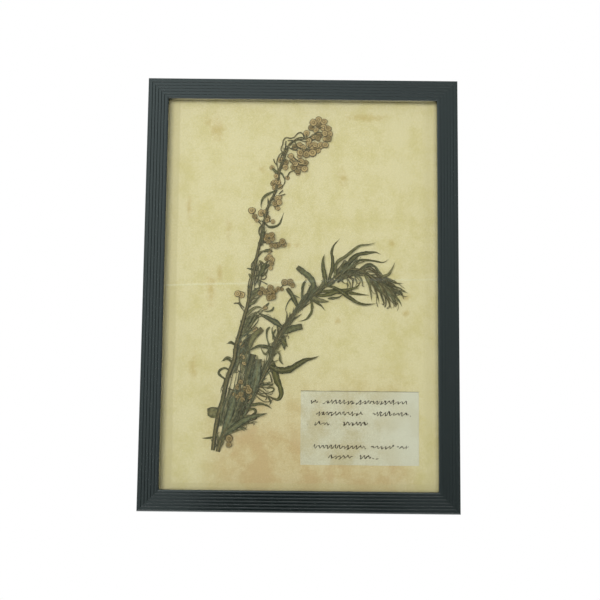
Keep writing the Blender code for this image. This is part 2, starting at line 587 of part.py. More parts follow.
def stem_mesh(name, points, station, sides=STEM_SIDES, flatness=STEM_FLATNESS):
    """A flattened round stem; each point has its half width as third value."""
    path = smooth_path([Vector(p) for p in points], station)
    rings = []
    for i, centre in enumerate(path):
        across = sideways([Vector(p[:2]) for p in path], i)
        tall = min(centre[2] * flatness, STEM_HALF_HEIGHT)
        ring = []
        for k in range(sides):
            angle = math.tau * k / sides
            out = across * centre[2] * math.cos(angle)
            ring.append(on_sheet(centre[0] + out[0], centre[1] + out[1], LEVEL_STEM + tall * math.sin(angle)))
        rings.append(ring)
    return loft(name, rings)


def stalk_mesh(points):
    return stem_mesh("stalk", [(x, z, STALK_RADIUS) for x, z in points], STALK_STATION, STALK_SIDES, 1.0)


def head_mesh(x, z, diameter, turn):
    """A pressed flower head: a low drum, widest a third of the way up; a big one lies a little deeper."""
    rings = []
    for level, share in HEAD_PROFILE:
        height = HEAD_BOTTOM + (HEAD_TOP - HEAD_BOTTOM) * level - HEAD_SINK * (diameter - TYPICAL_HEAD)
        ring = []
        for k in range(HEAD_SIDES):
            angle = turn + math.tau * k / HEAD_SIDES
            out = diameter / 2 * share
            ring.append(on_sheet(x + out * math.cos(angle), z + out * math.sin(angle), height))
        rings.append(ring)
    return loft("head", rings)


def spray_pieces(spray):
    pieces = [add_object("stalk", stalk_mesh(points)) for points in spray["stalks"]]
    for number, (x, z, diameter) in enumerate(spray["heads"]):
        pieces.append(add_object("head", head_mesh(x, z, diameter, HEAD_TURN * number)))
    return pieces


def leaf_pieces(leaves):
    return [add_object("leaf", leaf_mesh("leaf", points, width, LEVEL_STEM, LEAF_THICKNESS, False))
            for width, points in leaves]


def make_plant():
    stem = make_material("dry_stem", "5E5843", 0.8)
    leaf = make_material("dry_leaf", "4C5038", 0.75)
    flower = make_material("dry_flower", "80684A", 0.9)
    parts = [add_object("stem", stem_mesh("stem", FLOWERING_STEM, STEM_STATION))]
    parts += leaf_pieces(FLOWERING_STEM_LEAVES) + spray_pieces(FLOWERING_STEM_HEADS)
    fuse("flowering_stem", parts, stem)
    parts = [add_object("stem", stem_mesh("stem", LEAFY_STEM, STEM_STATION))]
    fuse("leafy_stem", parts + leaf_pieces(LEAFY_STEM_LEAVES), stem)
    parts = [add_object("stem", stem_mesh("stem", SHOOT_TIP, STEM_STATION))]
    fuse("shoot_tip", parts + leaf_pieces(SHOOT_TIP_LEAVES), leaf)
    for name, spray in SPRAYS.items():
        fuse(name, spray_pieces(spray), flower)
    for name, (level, width, blunt, points) in LEAVES.items():
        thickness = TOP_LEAF_THICKNESS if level == LEVEL_TOP else LEAF_THICKNESS
        add_object(name, leaf_mesh(name, points, width, level, thickness, blunt), leaf)


for old in list(bpy.data.objects):
    bpy.data.objects.remove(old)

make_frame()
make_panes()
zinc = make_material("zinc_steel", "A9ABA8", 0.4, metallic=1.0)
make_points(zinc)
make_hanger(zinc)
make_plant()
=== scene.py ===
import math
import random

import bmesh
import bpy
from mathutils import Matrix, Vector


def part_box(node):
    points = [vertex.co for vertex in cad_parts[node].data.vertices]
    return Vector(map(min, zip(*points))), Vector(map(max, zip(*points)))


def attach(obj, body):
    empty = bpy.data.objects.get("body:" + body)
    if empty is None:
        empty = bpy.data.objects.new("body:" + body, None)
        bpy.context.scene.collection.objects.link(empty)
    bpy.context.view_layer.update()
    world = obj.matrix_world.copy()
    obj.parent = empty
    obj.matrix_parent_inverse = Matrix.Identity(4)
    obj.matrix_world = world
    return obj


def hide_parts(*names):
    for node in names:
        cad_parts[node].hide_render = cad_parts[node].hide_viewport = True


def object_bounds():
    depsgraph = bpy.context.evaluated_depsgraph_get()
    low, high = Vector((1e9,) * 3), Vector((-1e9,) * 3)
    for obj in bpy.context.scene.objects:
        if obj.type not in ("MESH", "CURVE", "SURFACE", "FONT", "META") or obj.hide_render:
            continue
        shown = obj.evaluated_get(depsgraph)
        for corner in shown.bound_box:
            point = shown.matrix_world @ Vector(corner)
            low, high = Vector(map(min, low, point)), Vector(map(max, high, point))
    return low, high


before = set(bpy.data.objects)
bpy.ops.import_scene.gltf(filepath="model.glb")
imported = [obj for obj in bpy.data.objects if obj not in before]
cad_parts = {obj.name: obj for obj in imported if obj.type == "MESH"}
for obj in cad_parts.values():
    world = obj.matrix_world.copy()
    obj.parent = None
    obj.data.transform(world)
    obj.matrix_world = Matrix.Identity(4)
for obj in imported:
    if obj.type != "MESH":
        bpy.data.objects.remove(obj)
cad_box = [list(corner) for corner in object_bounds()]

# Backboard
# A sheet of 3 mm hardboard, pressed from brown wood fibre and sawn to size. It
# lies in the rebate behind the paper and presses it towards the glass. Its
# smooth side faces the wall.

MM = 0.001
BOARD_EDGE = 0.25 * MM


def linear(hex_colour):
    """Linear colour with alpha from an sRGB hex string."""
    values = [int(hex_colour[i:i + 2], 16) / 255 for i in (0, 2, 4)]
    return [v / 12.92 if v <= 0.04045 else ((v + 0.055) / 1.055) ** 2.4 for v in values] + [1.0]


def set_inputs(node, inputs):
    """Sets a node's inputs, given in order or by name. A socket, or a node by its first output, is linked."""
    for key, value in inputs.items() if isinstance(inputs, dict) else enumerate(inputs):
        source = value.outputs[0] if isinstance(value, bpy.types.Node) else value
        if isinstance(source, bpy.types.NodeSocket):
            node.id_data.links.new(source, node.inputs[key])
        else:
            node.inputs[key].default_value = source


def add_node(tree, kind, inputs=(), **settings):
    """Adds a node with its settings and its inputs."""
    node = tree.nodes.new(kind)
    for name, value in settings.items():
        setattr(node, name, value)
    set_inputs(node, inputs)
    return node


def start_material(name, roughness, metallic=0.0):
    """A new material with its node tree and its shader."""
    material = bpy.data.materials.new(name)
    material.use_nodes = True
    shader = material.node_tree.nodes["Principled BSDF"]
    set_inputs(shader, {"Roughness": roughness, "Metallic": metallic})
    return material, material.node_tree, shader


def in_millimetres(tree, middle=(0, 0, 0)):
    """Object coordinates in millimetres from a middle, which is itself given in metres.

    A texture's scale is then in spots to the millimetre: 0.5 gives spots of about 2 mm.
    """
    place = add_node(tree, "ShaderNodeTexCoord").outputs["Object"]
    moved = add_node(tree, "ShaderNodeVectorMath", [place, middle], operation="SUBTRACT")
    return add_node(tree, "ShaderNodeMapping", {"Vector": moved, "Scale": (1 / MM, 1 / MM, 1 / MM)})


# A colour Mix node numbers its sockets so
SHARE, COLOUR_BELOW, COLOUR_ABOVE, MIXED = 0, 6, 7, 2


def coat(tree, below, colour, follows, start=0.0, full=1.0, most=1.0, easing="LINEAR", way="MIX"):
    """Lays a colour over another one, as strongly as a value asks.

    Its share grows from none, where the value is at start, to most, where it is at full.
    """
    share = add_node(tree, "ShaderNodeMapRange",
                     {"Value": follows, "From Min": start, "From Max": full, "To Max": most},
                     interpolation_type=easing)
    below = linear(below) if isinstance(below, str) else below
    return add_node(tree, "ShaderNodeMix",
                    {SHARE: share, COLOUR_BELOW: below, COLOUR_ABOVE: linear(colour)},
                    data_type="RGBA", blend_type=way).outputs[MIXED]


def hardboard():
    """Hardboard: hot-pressed brown fibre, faintly shiny on its smooth side, with darker flecks."""
    material, tree, shader = start_material("hardboard", 0.62)
    place = in_millimetres(tree)
    flecks = add_node(tree, "ShaderNodeTexNoise", {"Vector": place, "Scale": 0.9, "Detail": 6.0})
    clouds = add_node(tree, "ShaderNodeTexNoise", {"Vector": place, "Scale": 0.02, "Detail": 3.0})
    brown = coat(tree, "8A6440", "5C3E25", flecks, 0.38, 0.66)
    brown = coat(tree, brown, "7A5534", clouds)
    bump = add_node(tree, "ShaderNodeBump", {"Height": flecks, "Strength": 0.25, "Distance": 0.2 * MM})
    set_inputs(shader, {"Base Color": brown, "Normal": bump})
    return material


def add_piece(mesh, replaced):
    """Puts a finished mesh in the scene in place of CAD nodes, with the first one's name."""
    mesh.name = replaced[0] + "_finished"
    piece = bpy.data.objects.new(mesh.name, mesh)
    bpy.context.scene.collection.objects.link(piece)
    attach(piece, "root")
    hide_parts(*replaced)
    return piece


def rounded_copy(node, width, segments, material):
    """The CAD node's own shape with its doubles merged and its edges rounded."""
    shape = bmesh.new()
    shape.from_mesh(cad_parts[node].data)
    bmesh.ops.remove_doubles(shape, verts=shape.verts, dist=1e-6)
    bmesh.ops.dissolve_limit(shape, angle_limit=0.01, verts=shape.verts, edges=shape.edges)
    edges = [e for e in shape.edges if e.calc_face_angle(0.0) > 0.5]
    bmesh.ops.bevel(shape, geom=edges, offset=width, segments=segments, profile=0.5, affect="EDGES",
                    clamp_overlap=True)
    bmesh.ops.recalc_face_normals(shape, faces=shape.faces)
    mesh = bpy.data.meshes.new(node)
    shape.to_mesh(mesh)
    shape.free()
    mesh.shade_smooth()
    mesh.set_sharp_from_angle(angle=math.radians(35))
    mesh.materials.clear()
    mesh.materials.append(material)
    return mesh


add_piece(rounded_copy("backboard", BOARD_EDGE, 2, hardboard()), ["backboard"])

# Sheet and label
# An old rag paper sheet, yellowed where air reached it, with a paler margin
# where another mount once lay over it, a fold across the middle and rust-brown
# stains. The label is a slip of greyer laid paper, cut by hand and pasted down.

sheet_low, sheet_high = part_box("sheet")
label_low, label_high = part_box("label")
MIDDLE_Z = (sheet_low.z + sheet_high.z) / 2
SHEET_FRONT = sheet_low.y
SHEET_MIDDLE = (0.0, SHEET_FRONT, MIDDLE_Z)
CREASE_LEFT = (-98.0, 4.3)
CREASE_RIGHT = (78.0, 10.0)
CREASE_SLOPE = (CREASE_RIGHT[1] - CREASE_LEFT[1]) / (CREASE_RIGHT[0] - CREASE_LEFT[0])
CREASE_START = CREASE_LEFT[1] - CREASE_SLOPE * CREASE_LEFT[0]
MARGIN_LEFT = -91.3
MARGIN_TOP = 138.6
MARGIN_BOTTOM = -138.4
MARGIN_RIGHT = 89.0
# Rust-brown stains: x and z of the middle, half width and half height, in millimetres
STAINS = [(-64, 122, 7, 13), (-70, 128, 5, 5), (-54, 48, 3, 9), (-66, 3, 5, 17), (-60, 14, 3, 7),
          (-30, 92, 4, 4), (-3, 35, 3, 3), (-9, 35, 2, 3), (67, 37, 3, 4), (78, -3, 4, 4), (77, -15, 4, 3),
          (27, -21, 3, 3), (-84, 62, 3, 12), (-78, -56, 4, 14), (48, 132, 18, 4), (30, 86, 5, 9)]


def start_tree(name, inputs):
    """A new Geometry Nodes tree with named inputs, and the sockets that carry them."""
    tree = bpy.data.node_groups.new(name, "GeometryNodeTree")
    for title, kind in inputs:
        tree.interface.new_socket(title, in_out="INPUT", socket_type="NodeSocket" + kind)
    tree.interface.new_socket("Geometry", in_out="OUTPUT", socket_type="NodeSocketGeometry")
    return tree, add_node(tree, "NodeGroupInput").outputs


def paper_tree():
    """Geometry Nodes for a sheet of paper: a fine grid, cockled, creased and curled, with a thickness."""
    tree, given = start_tree("paper_sheet", (
        ("Geometry", "Geometry"), ("Width", "Float"), ("Height", "Float"), ("Thickness", "Float"),
        ("Station", "Float"), ("Cockle", "Float"), ("Crease", "Float"), ("Curl", "Float"),
        ("Edge Wander", "Float"), ("Place", "Vector"), ("Paper", "Material")))
    place = add_node(tree, "GeometryNodeInputPosition")
    across, up, _ = add_node(tree, "ShaderNodeSeparateXYZ", [place]).outputs
    counts, corners = [], []
    for side, distance in (("Width", across), ("Height", up)):
        share = add_node(tree, "ShaderNodeMath", [given[side], given["Station"]], operation="DIVIDE")
        counts.append(add_node(tree, "ShaderNodeMath", [share, 1.0], operation="ADD"))
        share = add_node(tree, "ShaderNodeMath", [distance, given[side]], operation="DIVIDE")
        corners.append(add_node(tree, "ShaderNodeMath", [share, 2.0], operation="MULTIPLY"))
    grid = add_node(tree, "GeometryNodeMeshGrid", {"Size X": given["Width"], "Size Y": given["Height"],
                                                   "Vertices X": counts[0], "Vertices Y": counts[1]})
    waves = add_node(tree, "ShaderNodeTexNoise", {"Vector": place, "Scale": 0.03, "Detail": 2.0})
    height = add_node(tree, "ShaderNodeMapRange", {"Value": waves, "To Max": given["Cockle"]})
    line = add_node(tree, "ShaderNodeMath", [across, CREASE_SLOPE, CREASE_START], operation="MULTIPLY_ADD")
    off = add_node(tree, "ShaderNodeMath", [up, line], operation="SUBTRACT")
    off = add_node(tree, "ShaderNodeMath", [off], operation="ABSOLUTE")
    ridge = add_node(tree, "ShaderNodeMapRange",
                     {"Value": off, "From Min": 4.0, "From Max": 0.0, "To Max": given["Crease"]},
                     interpolation_type="SMOOTHSTEP")
    lifted = add_node(tree, "ShaderNodeMath", [height, ridge], operation="ADD")
    # The corners curl away from the backing as the fourth power of the distance from the middle
    corner = add_node(tree, "ShaderNodeMath", corners, operation="MULTIPLY")
    corner = add_node(tree, "ShaderNodeMath", [corner, 4.0], operation="POWER")
    lifted = add_node(tree, "ShaderNodeMath", [corner, given["Curl"], lifted], operation="MULTIPLY_ADD")
    wander = add_node(tree, "ShaderNodeTexNoise", {"Vector": place, "Scale": 0.12, "Detail": 3.0})
    centred = add_node(tree, "ShaderNodeVectorMath", [wander.outputs["Color"], (0.5, 0.5, 0.5)],
                       operation="SUBTRACT")
    drift = add_node(tree, "ShaderNodeVectorMath", {0: centred, "Scale": given["Edge Wander"]},
                     operation="SCALE")
    drift_x, drift_y, _ = add_node(tree, "ShaderNodeSeparateXYZ", [drift]).outputs
    shift = add_node(tree, "ShaderNodeCombineXYZ", [drift_x, drift_y, lifted])
    shaped = add_node(tree, "GeometryNodeSetPosition", {"Geometry": grid, "Offset": shift})
    # The back is the front turned over and pushed down by the thickness, with a wall round it
    down = add_node(tree, "ShaderNodeMath", [given["Thickness"], -1.0], operation="MULTIPLY")
    down = add_node(tree, "ShaderNodeCombineXYZ", {2: down})
    turned = add_node(tree, "GeometryNodeFlipFaces", [shaped])
    back = add_node(tree, "GeometryNodeExtrudeMesh",
                    {"Mesh": turned, "Offset": down, "Offset Scale": 1.0, "Individual": False},
                    mode="FACES")
    joined = add_node(tree, "GeometryNodeJoinGeometry")
    set_inputs(joined, [back])
    set_inputs(joined, [shaped])
    closed = add_node(tree, "GeometryNodeMergeByDistance", {0: joined, "Distance": 0.001})
    stood = add_node(tree, "GeometryNodeTransform",
                     {"Geometry": closed, "Translation": given["Place"], "Rotation": (math.pi / 2, 0, 0),
                      "Scale": (MM, MM, MM)})
    real = add_node(tree, "GeometryNodeRealizeInstances", [stood])
    named = add_node(tree, "GeometryNodeSetMaterial", {"Geometry": real, "Material": given["Paper"]})
    add_node(tree, "NodeGroupOutput", [named])
    return tree


def made_by_nodes(tree, host, values):
    """The plain mesh that a Geometry Nodes tree makes on a host mesh with the given named inputs."""
    carrier = bpy.data.objects.new("carrier", host)
    bpy.context.scene.collection.objects.link(carrier)
    modifier = carrier.modifiers.new("nodes", "NODES")
    modifier.node_group = tree
    for item in tree.interface.items_tree:
        if item.in_out == "INPUT" and item.name in values:
            modifier[item.identifier] = values[item.name]
    evaluated = carrier.evaluated_get(bpy.context.evaluated_depsgraph_get())
    mesh = bpy.data.meshes.new_from_object(evaluated)
    carrier.modifiers.remove(modifier)
    bpy.data.objects.remove(carrier)
    return mesh


def old_paper():
    """Rag paper gone yellow: matte, with mustard clouds, painted shade low down in the middle and darker
    fibres.
    """
    material, tree, shader = start_material("old_paper", 0.88)
    place = in_millimetres(tree, SHEET_MIDDLE)
    x, _, z = add_node(tree, "ShaderNodeSeparateXYZ", [place]).outputs
    clouds = add_node(tree, "ShaderNodeTexNoise",
                      {"Vector": place, "Scale": 0.05, "Detail": 7.0, "Roughness": 0.7})
    cloudy = add_node(tree, "ShaderNodeMapRange",
                      {"Value": clouds, "From Min": 0.4, "From Max": 0.66, "To Max": 0.9},
                      interpolation_type="SMOOTHSTEP")
    paper = coat(tree, "E5D8AC", "D9CB92", cloudy)
    # Stains: soft ellipses with ragged edges
    rag = add_node(tree, "ShaderNodeTexNoise",
                   {"Vector": place, "Scale": 0.16, "Detail": 8.0, "Roughness": 0.75})
    stained = None
    for stain_x, stain_z, half_width, half_height in STAINS:
        moved = add_node(tree, "ShaderNodeVectorMath", [place, (stain_x, 0, stain_z)], operation="SUBTRACT")
        scaled = add_node(tree, "ShaderNodeVectorMath", [moved, (1 / half_width, 0, 1 / half_height)],
                          operation="MULTIPLY")
        away = add_node(tree, "ShaderNodeVectorMath", [scaled], operation="LENGTH").outputs["Value"]
        ragged = add_node(tree, "ShaderNodeMath", [rag, 3.4, away], operation="MULTIPLY_ADD")
        stain = add_node(tree, "ShaderNodeMapRange",
                         {"Value": ragged, "From Min": 2.8, "From Max": 1.4, "To Max": 0.62},
                         interpolation_type="SMOOTHSTEP")
        stained = add_node(tree, "ShaderNodeMath", [stained or stain, stain], operation="MAXIMUM")
    paper = coat(tree, paper, "C6A962", stained)
    # Painted shade: the lower middle, where the glass reflects the dark cards, is painted warmer and darker
    painted_low_shade = add_node(tree, "ShaderNodeMath", [cloudy, 0.9, 0.45], operation="MULTIPLY_ADD")
    for value, start, full in ((z, -40.0, -125.0), (x, -80.0, -40.0), (x, 92.0, 66.0)):
        near = add_node(tree, "ShaderNodeMapRange", {"Value": value, "From Min": start, "From Max": full},
                        interpolation_type="SMOOTHSTEP")
        painted_low_shade = add_node(tree, "ShaderNodeMath", [painted_low_shade, near], operation="MULTIPLY")
    paper = coat(tree, paper, "D3B88A", painted_low_shade)
    # Margin that another mount once covered: pinker and greyer, with a slightly wavy edge
    wave = add_node(tree, "ShaderNodeTexNoise", {"Vector": place, "Scale": 0.02, "Detail": 1.0})
    waver = add_node(tree, "ShaderNodeMath", [wave, 2.4, -1.2], operation="MULTIPLY_ADD")
    margin = None
    for value, edge, softness, most in ((x, MARGIN_LEFT, -0.9, 0.6), (z, MARGIN_TOP, 1.2, 0.1),
                                        (z, MARGIN_BOTTOM, -0.6, 0.5), (x, MARGIN_RIGHT, 4.0, 0.3)):
        wavy = add_node(tree, "ShaderNodeMath", [value, waver], operation="ADD")
        beyond = add_node(tree, "ShaderNodeMapRange",
                          {"Value": wavy, "From Min": edge, "From Max": edge + softness, "To Max": most})
        margin = add_node(tree, "ShaderNodeMath", [margin or beyond, beyond], operation="MAXIMUM")
    paper = coat(tree, paper, "D2C494", margin)
    # The fold line is painted pale: a painted highlight along the crease
    line = add_node(tree, "ShaderNodeMath", [x, CREASE_SLOPE, CREASE_START], operation="MULTIPLY_ADD")
    off = add_node(tree, "ShaderNodeMath", [z, line], operation="SUBTRACT")
    off = add_node(tree, "ShaderNodeMath", [off], operation="ABSOLUTE")
    paper = coat(tree, paper, "E6DFBC", off, 1.0, 0.2, 0.45, "SMOOTHSTEP")
    # Fibres, drawn coarser than the real ones so that they show
    fibres = add_node(tree, "ShaderNodeTexNoise",
                      {"Vector": place, "Scale": 0.8, "Detail": 5.0, "Roughness": 0.7})
    paper = coat(tree, paper, "C7BB86", fibres, 0.3, 0.75, 0.3, way="MULTIPLY")
    bump = add_node(tree, "ShaderNodeBump", {"Height": fibres, "Strength": 0.3, "Distance": 0.15 * MM})
    set_inputs(shader, {"Base Color": paper, "Normal": bump})
    return material


# Rows of plain wavy pen strokes on the label: z, first x and last x in millimetres
PEN_ROWS = [(-80.0, 8.0, 78.0), (-88.4, 12.0, 81.0), (-95.6, 5.5, 50.0), (-112.4, 9.5, 80.0),
            (-119.4, 21.0, 58.0)]
PEN_PITCH = 3.0
PEN_WAVE = 0.95
PEN_SLANT = 0.5
PEN_HALF_WIDTH = 0.34


def label_paper():
    """Grey laid paper with rows of plain wavy strokes in sepia ink, painted shade along the top edge and a
    painted reflection on the right side.
    """
    material, tree, shader = start_material("label_paper", 0.86)
    place = in_millimetres(tree, SHEET_MIDDLE)
    x, _, z = add_node(tree, "ShaderNodeSeparateXYZ", [place]).outputs
    clouds = add_node(tree, "ShaderNodeTexNoise", {"Vector": place, "Scale": 0.05, "Detail": 5.0})
    paper = coat(tree, "DBD4BA", "CFC3A0", clouds, 0.4, 0.62, easing="SMOOTHSTEP")
    # Fibres, drawn coarser than the real ones so that they show
    fibres = add_node(tree, "ShaderNodeTexNoise", {"Vector": place, "Scale": 1.1, "Detail": 4.0})
    paper = coat(tree, paper, "C9BE9C", fibres, 0.3, 0.75, 0.3, "SMOOTHSTEP", "MULTIPLY")
    # A paler, greyer right side: painted reflection, where the glass reflects the bright room
    paper = coat(tree, paper, "DAD6C2", x, 45.0, 80.0, 0.6, "SMOOTHSTEP")
    # Each row is a slanted wave of uneven pitch and height, as thick across its own slope everywhere
    uneven = add_node(tree, "ShaderNodeTexNoise", {"Vector": place, "Scale": 0.3, "Detail": 3.0})
    reach = add_node(tree, "ShaderNodeMath", [uneven, 2.0], operation="POWER")
    reach = add_node(tree, "ShaderNodeMath", [reach, 4 * PEN_WAVE], operation="MULTIPLY")
    turns = 2 * math.pi / PEN_PITCH
    ink = None
    for row, first, last in PEN_ROWS:
        above = add_node(tree, "ShaderNodeMath", [z, row], operation="SUBTRACT")
        slanted = add_node(tree, "ShaderNodeMath", [above, -PEN_SLANT, x], operation="MULTIPLY_ADD")
        shifted = add_node(tree, "ShaderNodeMath", [uneven, 4.0, slanted], operation="MULTIPLY_ADD")
        phase = add_node(tree, "ShaderNodeMath", [shifted, turns], operation="MULTIPLY")
        sine = add_node(tree, "ShaderNodeMath", [phase], operation="SINE")
        wave = add_node(tree, "ShaderNodeMath", [sine, reach], operation="MULTIPLY")
        cosine = add_node(tree, "ShaderNodeMath", [phase], operation="COSINE")
        steepest = add_node(tree, "ShaderNodeMath", [reach, turns], operation="MULTIPLY")
        slope = add_node(tree, "ShaderNodeMath", [cosine, steepest], operation="MULTIPLY")
        longer = add_node(tree, "ShaderNodeMath", [slope, slope, 1.0], operation="MULTIPLY_ADD")
        longer = add_node(tree, "ShaderNodeMath", [longer], operation="SQRT")
        off = add_node(tree, "ShaderNodeMath", [above, wave], operation="SUBTRACT")
        off = add_node(tree, "ShaderNodeMath", [off], operation="ABSOLUTE")
        off = add_node(tree, "ShaderNodeMath", [off, longer], operation="DIVIDE")
        mark = add_node(tree, "ShaderNodeMapRange",
                        {"Value": off, "From Min": PEN_HALF_WIDTH * 1.3, "From Max": PEN_HALF_WIDTH * 0.8},
                        interpolation_type="SMOOTHSTEP")
        for test, limit in (("GREATER_THAN", first), ("LESS_THAN", last)):
            within = add_node(tree, "ShaderNodeMath", [x, limit], operation=test)
            mark = add_node(tree, "ShaderNodeMath", [mark, within], operation="MULTIPLY")
        ink = add_node(tree, "ShaderNodeMath", [ink or mark, mark], operation="MAXIMUM")
    # The pen is lifted now and then, and its ink runs paler in places
    runs = add_node(tree, "ShaderNodeTexNoise", {"Vector": place, "Scale": 0.09, "Detail": 0.0})
    for value, start, full, least in ((runs, 0.4, 0.43, 0.0), (uneven, 0.36, 0.5, 0.7)):
        wet = add_node(tree, "ShaderNodeMapRange",
                       {"Value": value, "From Min": start, "From Max": full, "To Min": least},
                       interpolation_type="SMOOTHSTEP")
        ink = add_node(tree, "ShaderNodeMath", [ink, wet], operation="MULTIPLY")
    paper = coat(tree, paper, "2E1A0C", ink)
    # Painted shade: a dark band along the top edge, where the slip stands off the sheet
    top = (label_high.z - MIDDLE_Z) / MM
    paper = coat(tree, paper, "6E6040", z, top - 0.9, top - 0.1, 0.7, "SMOOTHSTEP")
    bump = add_node(tree, "ShaderNodeBump", {"Height": fibres, "Strength": 0.3, "Distance": 0.15 * MM})
    set_inputs(shader, {"Base Color": paper, "Normal": bump})
    return material


paper_sheets = paper_tree()
sheet_size = sheet_high - sheet_low
sheet_mesh = made_by_nodes(paper_sheets, bpy.data.meshes.new("sheet"), {
    "Width": sheet_size.x / MM, "Height": sheet_size.z / MM, "Thickness": 0.3, "Station": 2.0,
    "Cockle": 0.12,
    "Crease": 0.14, "Curl": 0.0, "Edge Wander": 0.0, "Place": (0, SHEET_FRONT, MIDDLE_Z),
    "Paper": old_paper()})
add_piece(sheet_mesh, ["sheet"])
label_size = label_high - label_low
label_middle = (label_low + label_high) / 2
label_mesh = made_by_nodes(paper_sheets, bpy.data.meshes.new("label"), {
    "Width": label_size.x / MM, "Height": label_size.z / MM, "Thickness": 0.16, "Station": 1.4,
    "Cockle": 0.06,
    "Crease": 0.0, "Curl": 0.35, "Edge Wander": 0.9,
    "Place": (label_middle.x, label_high.y, label_middle.z),
    "Paper": label_paper()})
add_piece(label_mesh, ["label"])

# Plant
# One flowering stem and one leafy stem of a tall meadow herb, pressed flat and
# dried between papers until brown-green and brittle. Both are glued to the
# sheet at the foot. Lists of points are in millimetres from the sheet's middle.

LEVEL_BACK = 0.5
LEVEL_LOW_STEM = 1.25
LEVEL_STEM = 1.75
LEVEL_FRONT = 3.0
LEVEL_TOP = 3.5
STEM_PART, LEAF_PART, HEAD_PART = 0.0, 1.0, 2.0
STEM_FLATNESS = 0.72
STEM_RIBS = 9.0
STALK_HALF_WIDTH = 0.36
LEAF_FULLNESS = 1.12
HEAD_FULLNESS = 1.12
FLOWERING_STEM = [(-62.4, -115.5, 1.3), (-61.3, -106, 1.4), (-60.2, -98, 1.5), (-58.4, -89, 1.5),
                  (-55.8, -79, 1.5), (-54, -69, 1.5), (-51.6, -60, 1.5), (-48, -50, 1.5),
                  (-46.8, -40, 1.5), (-44.2, -30, 1.4), (-41.6, -20, 1.3), (-38.9, -10, 1.2),
                  (-37.4, 0, 1.1), (-35.6, 10, 1.0), (-33.8, 20, 1.0), (-32, 30, 1.0),
                  (-29.9, 40, 0.9), (-28.2, 50, 0.9), (-26, 60, 0.9), (-24, 66, 0.85),
                  (-20.6, 73, 0.8), (-18.6, 80, 0.8), (-17.4, 88, 0.8), (-15.6, 96, 0.75),
                  (-12.8, 103, 0.7), (-10.8, 108, 0.6)]
LEAFY_STEM = [(-58.8, -116.5, 1.4), (-56.6, -108, 1.5), (-52.6, -100, 1.6), (-47.5, -91, 1.6),
              (-42, -84, 1.6), (-36, -76, 1.6), (-29.5, -67, 1.6), (-24.6, -57, 1.6),
              (-20.8, -47, 1.6), (-18, -38, 1.5), (-13, -28, 1.5), (-7.2, -19, 1.4),
              (0.2, -10, 1.4), (8.5, -2.6, 1.3), (17, 4, 1.2), (24, 9.6, 1.1)]
SHOOT_TIP = [(25.2, 10.6, 1.1), (31, 15.2, 1.1), (38, 17.4, 1.0), (46, 15.4, 1.0),
             (53.5, 10.4, 0.9), (61, 5, 0.8), (67.5, -0.4, 0.6)]

# Small leaves that grow from a stem: (width, points from the stem outwards)
FLOWERING_STEM_LEAVES = [
    (1.7, [(-20, 75.4), (-25.2, 73), (-28.6, 70), (-30.2, 66), (-29.8, 62)]),
    (1.0, [(-28.4, 50.5), (-31, 47.5), (-31.6, 44.5), (-30.6, 41.5)]),
    (1.3, [(-33, 25.5), (-31.4, 28.4), (-28.5, 30.1), (-25.5, 30.2)]),
    (1.6, [(-33.4, 15.6), (-36.5, 16.3), (-40, 17.2)]),
    (1.4, [(-35.4, 9.6), (-37.5, 11), (-38.9, 13.4)]),
    (1.4, [(-47.2, -39.8), (-50.6, -38), (-54, -38.6)]),
    (1.7, [(-48.6, -53.5), (-51.4, -50.4), (-54.6, -49.8), (-57.4, -51.6)]),
    (1.5, [(-61, -106), (-65.6, -106.8), (-70.2, -107.1)]),
    (1.2, [(-42.4, -25.6), (-39.6, -29.5), (-38.2, -35.5)]),
]
LEAFY_STEM_LEAVES = [
    (1.7, [(1.6, -8), (0.9, -2), (1.6, 3.5), (4.6, 9)]),
    (1.0, [(-1.8, -12), (-6.6, -5), (-9.8, -9), (-11, -13.4), (-9.4, -17)]),
    (1.9, [(7, -4), (8.3, -10), (7.6, -15.5), (4, -20), (-1.6, -21.8)]),
    (1.2, [(6.5, -4.5), (12, -8.4), (15.4, -10.4), (18, -13.6)]),
    (3.0, [(8, -3.4), (14, -6), (20.4, -6.6)]),
    (1.4, [(-19, -42), (-15, -45.8), (-13.8, -50.8), (-12, -53.2)]),
    (2.8, [(-15.4, -32.5), (-12.4, -36.4), (-9, -40.5)]),
    (1.4, [(-17, -36), (-20, -31.5), (-20.8, -27.4), (-19.4, -25)]),
    (1.1, [(-20, -44), (-23.6, -37), (-24.9, -31.6), (-24.2, -26.6)]),
    (1.8, [(-51.6, -98.4), (-46, -98.2), (-42, -99.3), (-38, -100.8)]),
    (2.2, [(-40.6, -82.4), (-34, -82.6), (-28, -82), (-23.2, -83.2), (-20.3, -85.5)]),
    (1.8, [(-44.4, -86.6), (-38, -86.4), (-33.6, -85.8), (-32.2, -88), (-35, -89.8)]),
]
